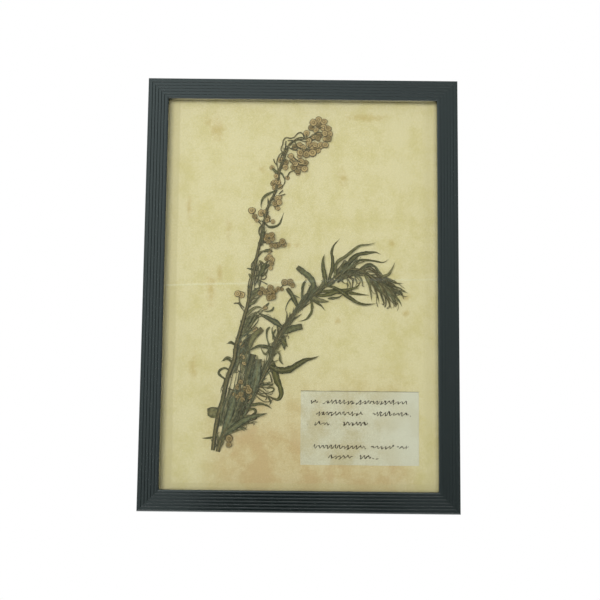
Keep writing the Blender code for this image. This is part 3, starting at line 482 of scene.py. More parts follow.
SHOOT_TIP_LEAVES = [
    (1.8, [(38.6, 17.2), (42, 23.6), (48, 24.1), (54, 23.6), (60.2, 22.7), (64.8, 25)]),
    (2.0, [(57, 8), (60.4, 12), (64.2, 13.6), (67, 18), (69, 22.6)]),
    (1.8, [(44, 16), (49, 20.2), (54, 19.6), (58, 15.4), (61, 11.6)]),
    (1.4, [(30.4, 14.8), (30.6, 19), (33, 22.4), (37.6, 23.8)]),
    (1.4, [(33, 16), (37, 13.2), (41.4, 12.4), (44.4, 9.6), (45.8, 5)]),
    (1.8, [(53, 10.6), (61, 10.8), (69, 7.6), (75.4, 7.2)]),
    (1.6, [(57, 8), (66, 5.6), (73, 3.4), (78, 0)]),
    (2.4, [(59, 6.6), (67, 3), (73.4, -0.4), (75.6, -4.6)]),
    (2.0, [(61, 5), (67.8, -1), (72, -5.6), (74.2, -10)]),
    (2.2, [(59, 6.4), (65.4, -1.4), (69, -6), (70, -10.6)]),
    (2.0, [(56, 8.6), (61, 0.6), (64.6, -6.4), (66.6, -12)]),
    (2.0, [(53, 10.6), (57.8, 1.6), (60, -5), (61.6, -10.6)]),
    (1.8, [(50, 12.6), (54, 4), (56.6, -3), (57.6, -7.8)]),
    (1.9, [(46.6, 15), (50, 7), (51.4, -0.6), (52.2, -6.6)]),
]

# Leaves of their own: name -> (level, width, blunt or broken tip, greyness, points from the stem outwards)
LEAVES = {
    "leaf_tall_left": (LEVEL_FRONT, 3.4, False, 0.2,
                       [(18.6, 4.4), (17.8, 10), (16.4, 17), (16, 23), (17.2, 28)]),
    "leaf_tall_right": (LEVEL_BACK, 2.6, False, 0.2,
                        [(20.4, 5.4), (21.4, 12), (23, 18), (23.2, 25), (22.4, 30), (24, 35),
                         (28.6, 40.2)]),
    "leaf_arching_over": (LEVEL_FRONT, 2.4, False, 0.3,
                          [(25.6, 9.6), (25, 17), (27, 22.6), (33, 26.8), (38.6, 31.6), (43.4, 34.8),
                           (49.4, 35.6), (55, 37.2)]),
    "leaf_broad_upper": (LEVEL_BACK, 3.6, False, 0.3,
                         [(32.6, 15), (36, 23), (41.6, 28), (48.6, 29.6), (55, 30.2), (58.6, 28.4)]),
    "leaf_inner_right": (LEVEL_FRONT, 3.0, False, 0.1,
                         [(11, -2.4), (19, -2), (27, 0.4), (34, 1.8), (39.6, 3.4), (42.8, 6), (42.4, 9)]),
    "leaf_level_right": (LEVEL_BACK, 3.2, False, 0.1,
                         [(14, 0.6), (24, 1), (34, 0.2), (42, -1), (50.4, -1.8)]),
    "leaf_falling_right": (LEVEL_TOP, 2.8, False, 0.1,
                           [(20, 5), (26, 2.6), (31.4, -1), (36.6, -4.6), (42, -7.8), (48, -9),
                            (55.8, -8)]),
    "leaf_bent_dark": (LEVEL_FRONT, 4.2, True, 0.6,
                       [(6.4, -4.4), (8.6, 1.6), (8.8, 7), (5.6, 11.4), (1.2, 15), (-3, 18.2)]),
    "leaf_dark_stub": (LEVEL_FRONT, 3.0, True, 0.3, [(-2, -11.4), (-4.4, -6.8), (-7, -1.8), (-10.2, 2.6)]),
    "leaf_broad_stub": (LEVEL_FRONT, 4.6, True, 0.4, [(-11.6, -30), (-5.4, -27), (1.2, -25.4)]),
    "leaf_crossing": (LEVEL_FRONT, 3.6, False, 0.7,
                      [(-13, -26.6), (-17, -23.4), (-22, -20.6), (-27, -18), (-32, -15.2)]),
    "leaf_long_right": (LEVEL_FRONT, 4.8, False, 0.0,
                        [(-22.6, -54), (-15.6, -57.4), (-8.4, -57), (-2, -53.4), (4, -49.9), (9, -48.8),
                         (13.8, -46.8)]),
    "leaf_drooping": (LEVEL_BACK, 4.4, False, 0.0,
                      [(-21.6, -49), (-18.6, -57), (-17, -64), (-14.4, -70), (-13.6, -75.4), (-16.6, -78.8),
                       (-24, -75.6)]),
    "leaf_blunt_left": (LEVEL_FRONT, 4.2, True, 0.3,
                        [(-39, -46), (-37, -38.6), (-34.4, -33.6), (-31, -30.2), (-27.8, -27.4)]),
    "leaf_crossing_low": (LEVEL_TOP, 2.6, False, 0.5,
                          [(-19.4, -42.6), (-24.4, -40.6), (-30, -40.2), (-34, -41.8), (-38.6, -44.4)]),
    "leaf_pale_left": (LEVEL_BACK, 5.2, True, 1.0,
                       [(-42.6, -83.6), (-39.6, -73), (-38, -62), (-36, -53), (-34.6, -46)]),
    "leaf_pale_middle": (LEVEL_FRONT, 5.6, True, 1.0,
                         [(-36, -76.6), (-32.4, -66.6), (-31, -58), (-30.2, -49.6)]),
    "leaf_pale_right": (LEVEL_BACK, 3.4, False, 0.9,
                        [(-31.6, -70), (-28, -63.6), (-26.4, -56), (-26, -49)]),
    "leaf_low_inner": (LEVEL_FRONT, 5.0, False, 0.8,
                       [(-54.4, -103), (-51.6, -93), (-48.4, -83), (-47, -74)]),
    "leaf_low_right": (LEVEL_TOP, 4.2, False, 0.6,
                       [(-54, -104), (-47.4, -99), (-41, -94.6), (-35, -91.6), (-29, -90.3),
                        (-23.4, -88.6)]),
    "leaf_broad_left": (LEVEL_BACK, 6.8, True, 0.5, [(-56.4, -88.4), (-61.4, -88), (-66.8, -88.4)]),
    "leaf_looped_left": (LEVEL_BACK, 1.7, False, 0.4,
                         [(-51, -59), (-54, -56.5), (-57.5, -57.2), (-59.4, -60), (-57.3, -62.4),
                          (-54.9, -64.4), (-55.6, -68), (-57, -71), (-57.7, -74.6)]),
    "leaf_arched_left": (LEVEL_FRONT, 2.4, False, 0.5,
                         [(-40.6, -18.8), (-36, -13.6), (-31.4, -11.4), (-27.4, -12.8)]),
    "leaf_dark_left": (LEVEL_BACK, 4.8, False, 0.6, [(-42, -23.6), (-36.4, -20.2), (-30.4, -17)]),
    "leaf_hooked": (LEVEL_BACK, 1.7, False, 0.3,
                    [(-27.4, 51), (-24, 48.4), (-20, 48.6), (-16.6, 50.6), (-14.8, 54.6), (-13.4, 59.6)]),
    "leaf_hanging": (LEVEL_FRONT, 2.1, True, 0.4, [(-27.9, 50), (-28.3, 44.6), (-28.8, 39), (-29.3, 34)]),
    "leaf_dark_bract": (LEVEL_FRONT, 3.4, False, 0.3,
                        [(-30.2, 11.6), (-28.6, 15.4), (-27, 19), (-25, 22.6)]),
}

# Flower heads on their stalks, fine curled stalks and stray bracts: each spray has
# stalks, lists of points from the stem outwards, and heads, (x, z, diameter).
FLOWERING_STEM_HEADS = {
    "stalks": [
        [(-15.6, 95), (-12.4, 96.4)],
        [(-16.2, 92.4), (-12.8, 93.4)],
        [(-17, 90), (-19.6, 90.4), (-22, 92.6)],
        [(-17.6, 87), (-19.2, 86.8)],
        [(-26.6, 58), (-29.6, 58.4)],
        [(-27.6, 53), (-25, 52.8), (-21.6, 52.2)],
        [(-27, 30.2), (-23.4, 30.2)],
        [(-42.8, -25), (-38, -26.6), (-34, -27.6)],
        [(-46.4, -40), (-42, -39.6)],
        [(-47.4, -48), (-42, -47.8)],
        [(-49, -53), (-44, -52.4), (-41, -52.2)],
    ],
    "heads": [(-12.2, 97.4, 4.2), (-12.6, 93.4, 4.2), (-16.4, 99.2, 3.8), (-22.4, 92.8, 3.6),
              (-19.4, 86.6, 3.6), (-21.4, 81, 4.2), (-18, 82.4, 4.8), (-16.6, 79, 4.4), (-20.2, 78, 4.0),
              (-30, 58.6, 5.2), (-26.8, 59.6, 4.0), (-25.6, 53.2, 3.8), (-21.2, 52.2, 3.4),
              (-23.4, 30.2, 3.8), (-33.6, -27.6, 4.2), (-42, -39.6, 5.4), (-41.6, -47.4, 4.6),
              (-40.4, -52.2, 4.2)],
}
SPRAYS = {
    "crown_spray": {
        "stalks": [[(-9.8, 109.8), (-7, 112.6), (-3, 114.6), (3, 115.6), (7.6, 118), (10.6, 122),
                    (12, 127)],
                   [(7.6, 118), (13, 118.6), (19, 118)],
                   [(3, 115.6), (3, 119)],
                   [(10.6, 122), (7, 125)],
                   [(11, 122.6), (15.6, 125)]],
        "heads": [(12, 129.8, 5.0), (16, 128.4, 5.0), (8, 127.6, 5.4), (6.4, 123.8, 4.6),
                  (12.2, 125.6, 4.4),
                  (19, 123.4, 5.4), (15.6, 124, 5.0), (10, 122, 4.4), (3, 119.6, 4.6), (20, 119, 5.0),
                  (16.6, 119.4, 4.6), (12.4, 118, 5.0), (19.2, 115.2, 5.0), (8.4, 117, 4.4)],
    },
    "crown_lower_spray": {
        "stalks": [[(-9.4, 107.6), (-5, 108.8), (0, 107.6), (5, 107), (11, 107.8), (14, 110)],
                   [(0, 107.6), (1, 104)],
                   [(4, 107), (5, 111.6)]],
        "heads": [(5, 111.4, 5.0), (9.2, 110.8, 4.6), (13.6, 110.4, 5.0), (17, 110.6, 4.8),
                  (-1.6, 104.6, 5.2), (3, 103.4, 5.4), (7.6, 104.4, 5.8), (11.4, 107, 5.0),
                  (7.6, 107.6, 4.6), (0.6, 108.2, 4.6), (-2, 110.6, 4.6), (-5.6, 109.2, 4.4)],
    },
    "right_spray": {
        "stalks": [[(-11.2, 101.6), (-9, 100.4), (-6, 97.6), (-2, 95.6), (1.4, 94.6)],
                   [(-4.6, 93), (-5.8, 91), (-8.6, 90.2), (-10.4, 88), (-11, 85.4)]],
        "heads": [(-1, 98, 5.0), (2.4, 96.8, 4.6), (1.8, 92.2, 5.0), (-1.6, 94, 5.0), (-5, 96, 4.8),
                  (-6.4, 93.2, 4.4), (-3.4, 90.4, 4.4), (-7.4, 99, 4.2), (-10.8, 85.6, 3.2)],
    },
    "bend_spray": {
        "stalks": [[(-19.7, 71.4), (-18.6, 69), (-18, 65.6), (-17.8, 62.6)]],
        "heads": [(-18, 69.6, 4.4), (-16.8, 66.8, 4.6), (-19.8, 65.6, 4.4), (-17.8, 62.4, 3.4)],
    },
    "left_spray": {
        "stalks": [[(-30, 52.2), (-32.4, 54), (-35, 56.6), (-36.8, 60)]],
        "heads": [(-37, 60.6, 5.4), (-35, 56, 3.8)],
    },
    "middle_spray": {
        "stalks": [[(-27.6, 40), (-25, 39.6), (-23, 35.6), (-19.4, 34), (-15.6, 35), (-13.6, 37)]],
        "heads": [(-25.2, 41.4, 4.0), (-22.2, 41.8, 4.8), (-21.4, 39.2, 4.2), (-24.4, 37.2, 4.0),
                  (-22, 34.2, 3.6), (-19.4, 34, 3.4), (-16.8, 34.6, 4.0), (-14, 37, 4.8), (-12.8, 35, 4.0)],
    },
    "side_branch": {
        "stalks": [[(-37, -8.4), (-34.2, -3.6), (-31.6, 0.4), (-30.2, 5), (-29.4, 10), (-28, 15),
                    (-26.2, 19.6), (-24.2, 23)],
                   [(-26.2, 19.6), (-23, 18)]],
        "heads": [(-23.6, 25.6, 4.8), (-21.6, 23.6, 4.2), (-22, 20.8, 3.8), (-22.6, 17.6, 3.4)],
    },
    "low_spray": {
        "stalks": [[(-30, -3), (-26, -1), (-21, 0.4), (-17, 2), (-14.6, 3.4), (-12, 6)],
                   [(-26, -1), (-22, -4.6)]],
        "heads": [(-22.4, 2.6, 4.8), (-20.8, -1, 4.6), (-23.2, -4.6, 4.6), (-20.4, -4, 4.6),
                  (-26, -0.4, 4.4), (-16.6, 2.2, 3.4), (-12, 6.8, 5.0), (-8, 7, 5.2), (-6.2, 4.8, 4.0)],
    },
    "left_low_spray": {
        "stalks": [[(-41.4, -12), (-43.4, -10.4), (-45, -7.6), (-45.2, -4)], [(-44.8, -8.4), (-49, -9)]],
        "heads": [(-46.4, -1.8, 4.8), (-43.6, -2.6, 5.0)],
    },
    "lower_heads": {
        "stalks": [[(-52, -71), (-48, -72.4), (-44, -72), (-38, -73.6)], [(-45.6, -72), (-43.6, -67)]],
        "heads": [(-43, -66.4, 4.2), (-45, -70, 4.4), (-40.2, -71.6, 4.8), (-37.8, -70.2, 4.2),
                  (-46.6, -75.6, 4.8), (-42.4, -75, 4.4)],
    },
    "foot_heads": {
        "stalks": [[(-53.7, -106.8), (-51, -107), (-50.8, -111)]],
        "heads": [(-50.7, -107, 5.4), (-50.8, -111.4, 4.2)],
    },
}

# Bracts that cling to each stem: how many, shortest, longest and width
CLINGING = {
    "flowering_stem": [(52, 1.6, 3.6, 0.8), (20, 3.0, 7.0, 1.1)],
    "leafy_stem": [(110, 2.0, 6.0, 1.1), (34, 6.0, 12.0, 1.5)],
    "shoot_tip": [(26, 2.5, 6.0, 0.8), (10, 5.0, 10.0, 1.0)],
}
CURL_HALF_WIDTH = 0.36
HEADS_IN_FRONT = ("lower_heads", "foot_heads", "low_spray", "middle_spray")
# Finer growth of each piece: curled stalks, heads, leaves as (width, points), and fans, each as
# its first leaf, its last leaf, the number of leaves, their width and their tone. A tone runs
# from 0, olive, through 1, grey-green, to 2, brown.
FINE_GROWTH = {
    "crown_spray": {
        "curls": [[(-11.4, 105.3), (-11, 108.9), (-9.6, 111.7), (-7.4, 113.1), (-3.9, 115.6), (-0.3, 116.4),
                   (2.6, 115.3), (5.4, 116), (8.3, 118.1), (10.4, 121.7)],
                  [(-14.6, 104.6), (-16, 106.7), (-15.6, 108.9), (-14.6, 111), (-14.6, 113.1),
                   (-13.5, 115.3),
                   (-11.7, 116.1), (-8.9, 115.6), (-6, 116.4)],
                  [(-6, 116.4), (-3.9, 119.2), (-1.7, 120.1), (0.1, 119.2), (0.8, 117.4), (2.6, 115.6)],
                  [(-3.9, 115.6), (0, 113.6), (4, 113.2), (8, 114.6), (11.5, 116)],
                  [(8.3, 118.1), (12, 120.4), (15, 120), (17.6, 121.6)]],
        "heads": [(17.2, 115.3, 4.4), (11.5, 115.6, 4.2)],
    },
    "crown_lower_spray": {
        "curls": [[(-12.1, 113.1), (-12.8, 111), (-11.7, 109.2), (-9.9, 110.3), (-8, 112)],
                  [(-11, 113.9), (-7.4, 113.9), (-5.3, 112.4), (-4.4, 109.4)],
                  [(0.4, 111), (2.2, 108.9), (4, 106.7)],
                  [(-10.4, 109), (-7.6, 107), (-4.4, 106.6), (-1.7, 106)]],
        "heads": [(4.7, 113.9, 4.4), (-2.1, 102.4, 4.0)],
    },
    "right_spray": {
        "curls": [[(-7.4, 90.6), (-9.2, 89.6), (-10.3, 87.4)],
                  [(-11, 103), (-7.6, 101.8), (-4, 99), (-1, 97)],
                  [(-9.6, 98.8), (-6, 95), (-3.4, 92)]],
        "heads": [(-8.5, 101.7, 4.0), (-3.1, 88.9, 3.4)],
    },
    "left_spray": {
        "curls": [[(-29.6, 50), (-32, 52.2), (-33.6, 54.8), (-35.2, 56.4)]],
        "heads": [(-33.1, 53.2, 3.4)],
    },
    "middle_spray": {
        "curls": [[(-29.6, 36), (-26, 36.6), (-22.4, 36), (-18, 36.4), (-14.6, 36.8)]],
        "heads": [(-26.4, 38.6, 3.6), (-18.9, 33.2, 3.2)],
    },
    "side_branch": {
        "curls": [[(-34.2, 23.6), (-36.4, 20.7), (-36.7, 17.9)],
                  [(-27.4, 14.3), (-25.6, 11.4), (-26.7, 9.3), (-29.2, 9.3)],
                  [(-33.9, 10), (-31.4, 8.6), (-28.1, 7.1), (-24.6, 5.4)]],
        "heads": [(-25.4, 24.2, 3.6)],
        "leaves": [(1.8, [(-30.6, 4), (-31.4, 9), (-30.2, 13)]),
                   (1.6, [(-29, 11), (-25.6, 14), (-24.4, 17.4)]),
                   (1.6, [(-28, 15), (-29.4, 18.6), (-29, 22.4)])],
    },
    "low_spray": {
        "curls": [[(-36, -5), (-32, -2), (-28, 0.6), (-24.6, 2.2)], [(-34.6, 2.6), (-31, 1.2), (-27.6, -1)],
                  [(-22.6, -1.9), (-18.6, -0.6), (-16, 2.8)]],
        "heads": [(-23.1, -1.9, 4.2), (-18.1, 0.6, 3.0), (-13.9, 1.7, 2.8), (-28.6, 1.6, 3.6),
                  (-30, -1.4, 3.6)],
        "leaves": [(1.8, [(-35.6, -4), (-31.6, -1.6), (-28.4, 2.6)]),
                   (1.7, [(-35, 0), (-31, 2.4), (-27.4, 2.6)])],
    },
    "left_low_spray": {
        "curls": [[(-41.8, -14), (-43.6, -12), (-45.3, -9.4), (-48.1, -8.6)]],
        "heads": [],
    },
    "lower_heads": {
        "curls": [],
        "heads": [(-37.1, -72.4, 5.4), (-36.4, -76.7, 4.2), (-41.6, -79, 4.0), (-44.6, -77.4, 4.8)],
    },
    "foot_heads": {"heads": []},
    "bend_spray": {
        "heads": [(-16.4, 70.4, 3.2)],
        "curls": [[(-21.6, 71), (-20.4, 67.6), (-20.2, 64.4), (-19.4, 61.4)]],
    },
    "flowering_stem": {
        "curls": [[(-18.5, 93.9), (-18.9, 97.4), (-18.1, 101), (-16.4, 103.5), (-14.9, 104.6)],
                  [(-21.4, 99.6), (-20.6, 97.1), (-18.8, 95)],
                  [(-13.9, 86.7), (-12.8, 83.9), (-13.1, 81), (-15.3, 78.5), (-17.8, 77)],
                  [(-16.7, 71.7), (-12.4, 73.1)], [(-17.1, 73.1), (-14.2, 76)],
                  [(-29.6, 50), (-30.6, 47.1), (-31.4, 44.6), (-30.3, 42.5), (-28.5, 42.9)],
                  [(-33.1, 24.3), (-31, 27.1), (-28.9, 29.6), (-26.4, 30)],
                  [(-36.6, -10), (-38.8, -3), (-38.6, 6), (-36.6, 12)],
                  [(-14.4, 102), (-13.4, 106), (-12.6, 110), (-12.4, 113.4)],
                  [(-16.6, 98), (-15.6, 102), (-13.6, 106), (-11.6, 108)],
                  [(-17.6, 92), (-14.4, 95), (-13.2, 99), (-12.8, 102)]],
        "heads": [(-25.3, 55, 4.2), (-20.6, 82, 3.8), (-26, -11.9, 3.2), (-40.8, -43.6, 4.4),
                  (-15.4, 100, 3.2), (-19, 88.6, 3.0)],
        "leaves": [(2.2, [(-17.6, 88.6), (-20.2, 90.4), (-22.8, 93.1)]),
                   (1.4, [(-17.2, 90), (-14.6, 88), (-13.4, 84.6)]),
                   (2.2, [(-27.8, 29.6), (-24.6, 30.7), (-20.6, 29.6)]),
                   (1.8, [(-31, 22.9), (-28.5, 21.4), (-27.1, 20)]),
                   (2.4, [(-21, 21.4), (-25.3, 18.6), (-28.1, 15.7), (-31.7, 12.1), (-34.6, 9.6)]),
                   (1.4, [(-39.9, 17.1), (-35.3, 16.4), (-29.6, 15)]),
                   (1.4, [(-38.1, 13.2), (-36.7, 11.4), (-34.6, 10)]),
                   (1.8, [(-36.8, -2), (-32.4, 0.6), (-30, 4)]),
                   (2.0, [(-38.8, -10), (-34, -8), (-30.6, -3.6)]),
                   (1.6, [(-23.1, -8.3), (-26, -11.1), (-27.4, -12.6)]),
                   (1.4, [(-19.9, -11.1), (-21, -13.6), (-24.6, -14.7), (-27.4, -14.4)]),
                   (1.4, [(-52.4, -37.9), (-50.3, -37.2), (-47, -40)]),
                   (2.0, [(-56, -51.1), (-53.1, -48.6), (-49.6, -49.4)]),
                   (1.5, [(-39.9, -28.3), (-38.5, -31.9), (-38.1, -35.4)]),
                   (1.5, [(-58, -91), (-64, -91.6), (-67, -89)]),
                   (1.4, [(-53, -70), (-56.4, -76), (-57, -83)])],
        "fans": [
            ([(-42, -30), (-39, -21), (-35, -15), (-29, -11.6)],
             [(-42, -34), (-36, -28), (-30.6, -21), (-25, -17)],
             9, 1.3, 0.8),
            ([(-46, -44), (-43, -36), (-38, -30), (-33, -27)],
             [(-47, -52), (-42, -46), (-38, -40), (-35, -34)],
             7, 1.2, 1.3),
            ([(-38, -6), (-36.4, -2), (-33, 1), (-28, 3)], [(-39, -12), (-35, -8), (-31, -4), (-26, -3)], 8,
             0.9, 1.6),
            ([(-36.6, 4), (-36, 10), (-35.4, 16), (-34, 22)], [(-34.4, 4), (-32, 10), (-30, 15), (-28, 20)],
             5, 0.9, 1.5),
            ([(-61, -100), (-59.6, -88), (-57.6, -76), (-54.4, -64)],
             [(-56, -96), (-52, -84), (-49, -72), (-46, -60)], 12, 1.0, 1.1),
            ([(-51, -60), (-48, -52), (-45.6, -44), (-43.6, -37)],
             [(-40, -59), (-38.6, -51), (-37.6, -44), (-37, -38)], 9, 1.3, 1.3)],
    },
    "leafy_stem": {
        "curls": [[(-24, -54), (-21, -58), (-19.5, -63)], [(-26.4, -58), (-22, -60.4), (-20.6, -66)]],
        "leaves": [(1.9, [(-3.1, 17.4), (-0.6, 15.6), (0.4, 12.6)]),
                   (1.8, [(1.1, -1.3), (1.5, 5.3), (4, 9.5)]),
                   (3.0, [(3, -6), (5.6, -1), (7.6, 6)]), (0.8, [(-5.2, -2.2), (-0.2, -4.7)]),
                   (0.8, [(-6.8, -3.8), (-9.8, -8.8)]), (1.8, [(11.5, -6.3), (16, -7), (20.7, -7.2)]),
                   (1.4, [(10, -6), (14.8, -9.7), (17.3, -13)]),
                   (1.6, [(-22.4, -26.1), (-24.6, -29), (-24.2, -34)]),
                   (1.4, [(-18.1, -27.6), (-19.9, -31.9), (-20, -36)]),
                   (4.4, [(-14.6, -31), (-12.4, -36), (-11.4, -43)]),
                   (1.6, [(-14.9, -46.9), (-14.6, -50.4), (-12.4, -53.3)]),
                   (1.8, [(-21, -40), (-25.3, -46.1), (-28.9, -41.1)]),
                   (1.4, [(-23.9, -66.7), (-22, -68), (-20, -68), (-18.8, -66.6)]),
                   (1.3,
                    [(-24.2, -71), (-21, -70), (-18.9, -70.8), (-19.4, -72.6), (-22.4, -73.6), (-25, -74)]),
                   (1.4, [(-23.1, -76.7), (-21, -80.3), (-22, -83)]),
                   (2.0, [(-33.9, -82.4), (-29.6, -81.7), (-24.6, -82.8), (-20.3, -85.3)]),
                   (2.0, [(-36, -85.3), (-32.4, -86), (-32.1, -88.5), (-35.3, -89.9)]),
                   (3.0, [(-46, -92), (-40.3, -91.7), (-33.1, -90.6), (-23.9, -88.5)]),
                   (1.6, [(-48, -98), (-44.6, -97.1), (-40.3, -98.9), (-37.4, -100.6)]),
                   (1.4, [(-48, -100), (-43.9, -98.9), (-39.2, -101.7)])],
        "fans": [
            ([(-59, -113), (-54, -98), (-50, -84), (-47.6, -72), (-46, -60)],
             [(-52, -104), (-41, -93), (-33, -80), (-27.6, -67), (-25.6, -56)], 22, 1.2, 1.0),
            ([(-47, -90), (-43, -78), (-41.4, -66), (-40, -55)],
             [(-38, -80), (-32, -68), (-29.6, -57), (-28, -47)],
             12, 1.3, 0.7),
            ([(-56, -104), (-51, -96), (-48, -86), (-44, -76)],
             [(-44, -98), (-38, -90), (-36, -82), (-34, -74)],
             11, 1.0, 1.5),
            ([(-34, -72), (-29.6, -62), (-26, -52), (-24, -42)],
             [(-24, -58), (-19, -48), (-14, -39), (-9, -31)],
             12, 1.0, 1.7),
            ([(-22, -46), (-19, -38), (-15.6, -30), (-10, -22)],
             [(-14, -34), (-8, -24), (-2, -15), (4, -7)],
             12, 0.9, 1.7),
            ([(-8, -20), (-3, -12), (2, -5), (6, 2)], [(0, -12), (6, -6), (11, 0), (17, 7)], 10, 1.0, 1.2),
            ([(-58, -110), (-50, -104), (-44, -101), (-38, -99)],
             [(-54, -103), (-46, -97), (-38, -94), (-31, -91)],
             8, 1.0, 1.4),
            ([(-33, -64), (-28, -66), (-24, -66.6), (-20.4, -66)],
             [(-33, -76), (-29, -79), (-25, -80), (-21.6, -81)],
             9, 0.9, 2.0)],
    },
    "shoot_tip": {
        "leaves": [(1.8, [(19.8, -4.7), (27.3, -3.8), (31, -1.5)]),
                   (1.2, [(40.7, 13.7), (44, 10.3), (45.7, 5.3)]),
                   (1.4, [(28, 13), (29.6, 9), (33, 6)]), (1.2, [(31, 13.6), (34, 9.6), (34.4, 6)]),
                   (1.2, [(33.5, 7), (34.6, 5), (34, 3)]), (0.9, [(72, 2), (75.4, 1.2), (78.6, -0.1)])],
        "fans": [
            ([(24, 9), (25, 16), (30, 22), (38, 25)], [(31, 13), (35, 17), (41, 21), (48, 22.4)], 9, 1.1,
             1.3),
            ([(25.2, 9), (30, 13), (36, 17), (43, 18.6)], [(27, 8), (33, 11), (39, 13.6), (46, 12.6)], 7,
             1.1, 1.7),
            ([(42, 17), (48, 22), (54, 20.6), (59.8, 12)], [(46, 14), (51, 16), (55, 13.6), (58, 7)], 7,
             0.9, 1.8),
            ([(50, 14), (58, 13), (67, 9.6), (74, 6.6)], [(56, 9), (63, 4), (70, -1), (75, -4.7)], 6, 0.9,
             1.8),
            ([(56, 9), (64, 4), (70.6, -3), (73, -9)], [(47, 13), (50, 5), (51, -1), (52.5, -6.4)], 9, 1.0,
             1.8),
            ([(58, 10), (66, 6.4), (72.6, 1), (76, -2)], [(52, 10), (58, 3), (62, -4), (65, -10)], 7, 0.9,
             1.8),
            ([(38, 17), (41, 14), (44.6, 10), (46, 5)], [(30, 13), (33, 11), (35, 8), (34.6, 4)], 7, 0.8,
             1.7)],
    },
}

# Whorls of a flower head, in head radii: how many spikes, their root circle, reach and thickness,
# and the lowest and highest rise. Buttons: radius, height and number of pleats.
WHORLS = ((26, 0.5, 0.52, 0.08, -0.15, 0.08), (22, 0.46, 0.5, 0.03, 0.0, 0.2),
          (14, 0.26, 0.36, 0.03, 0.4, 0.9), (14, 0.14, 0.26, 0.05, 0.9, 2.4))
BUTTONS = ((0.9, 0.2, 22.0), (0.42, 0.6, 12.0))


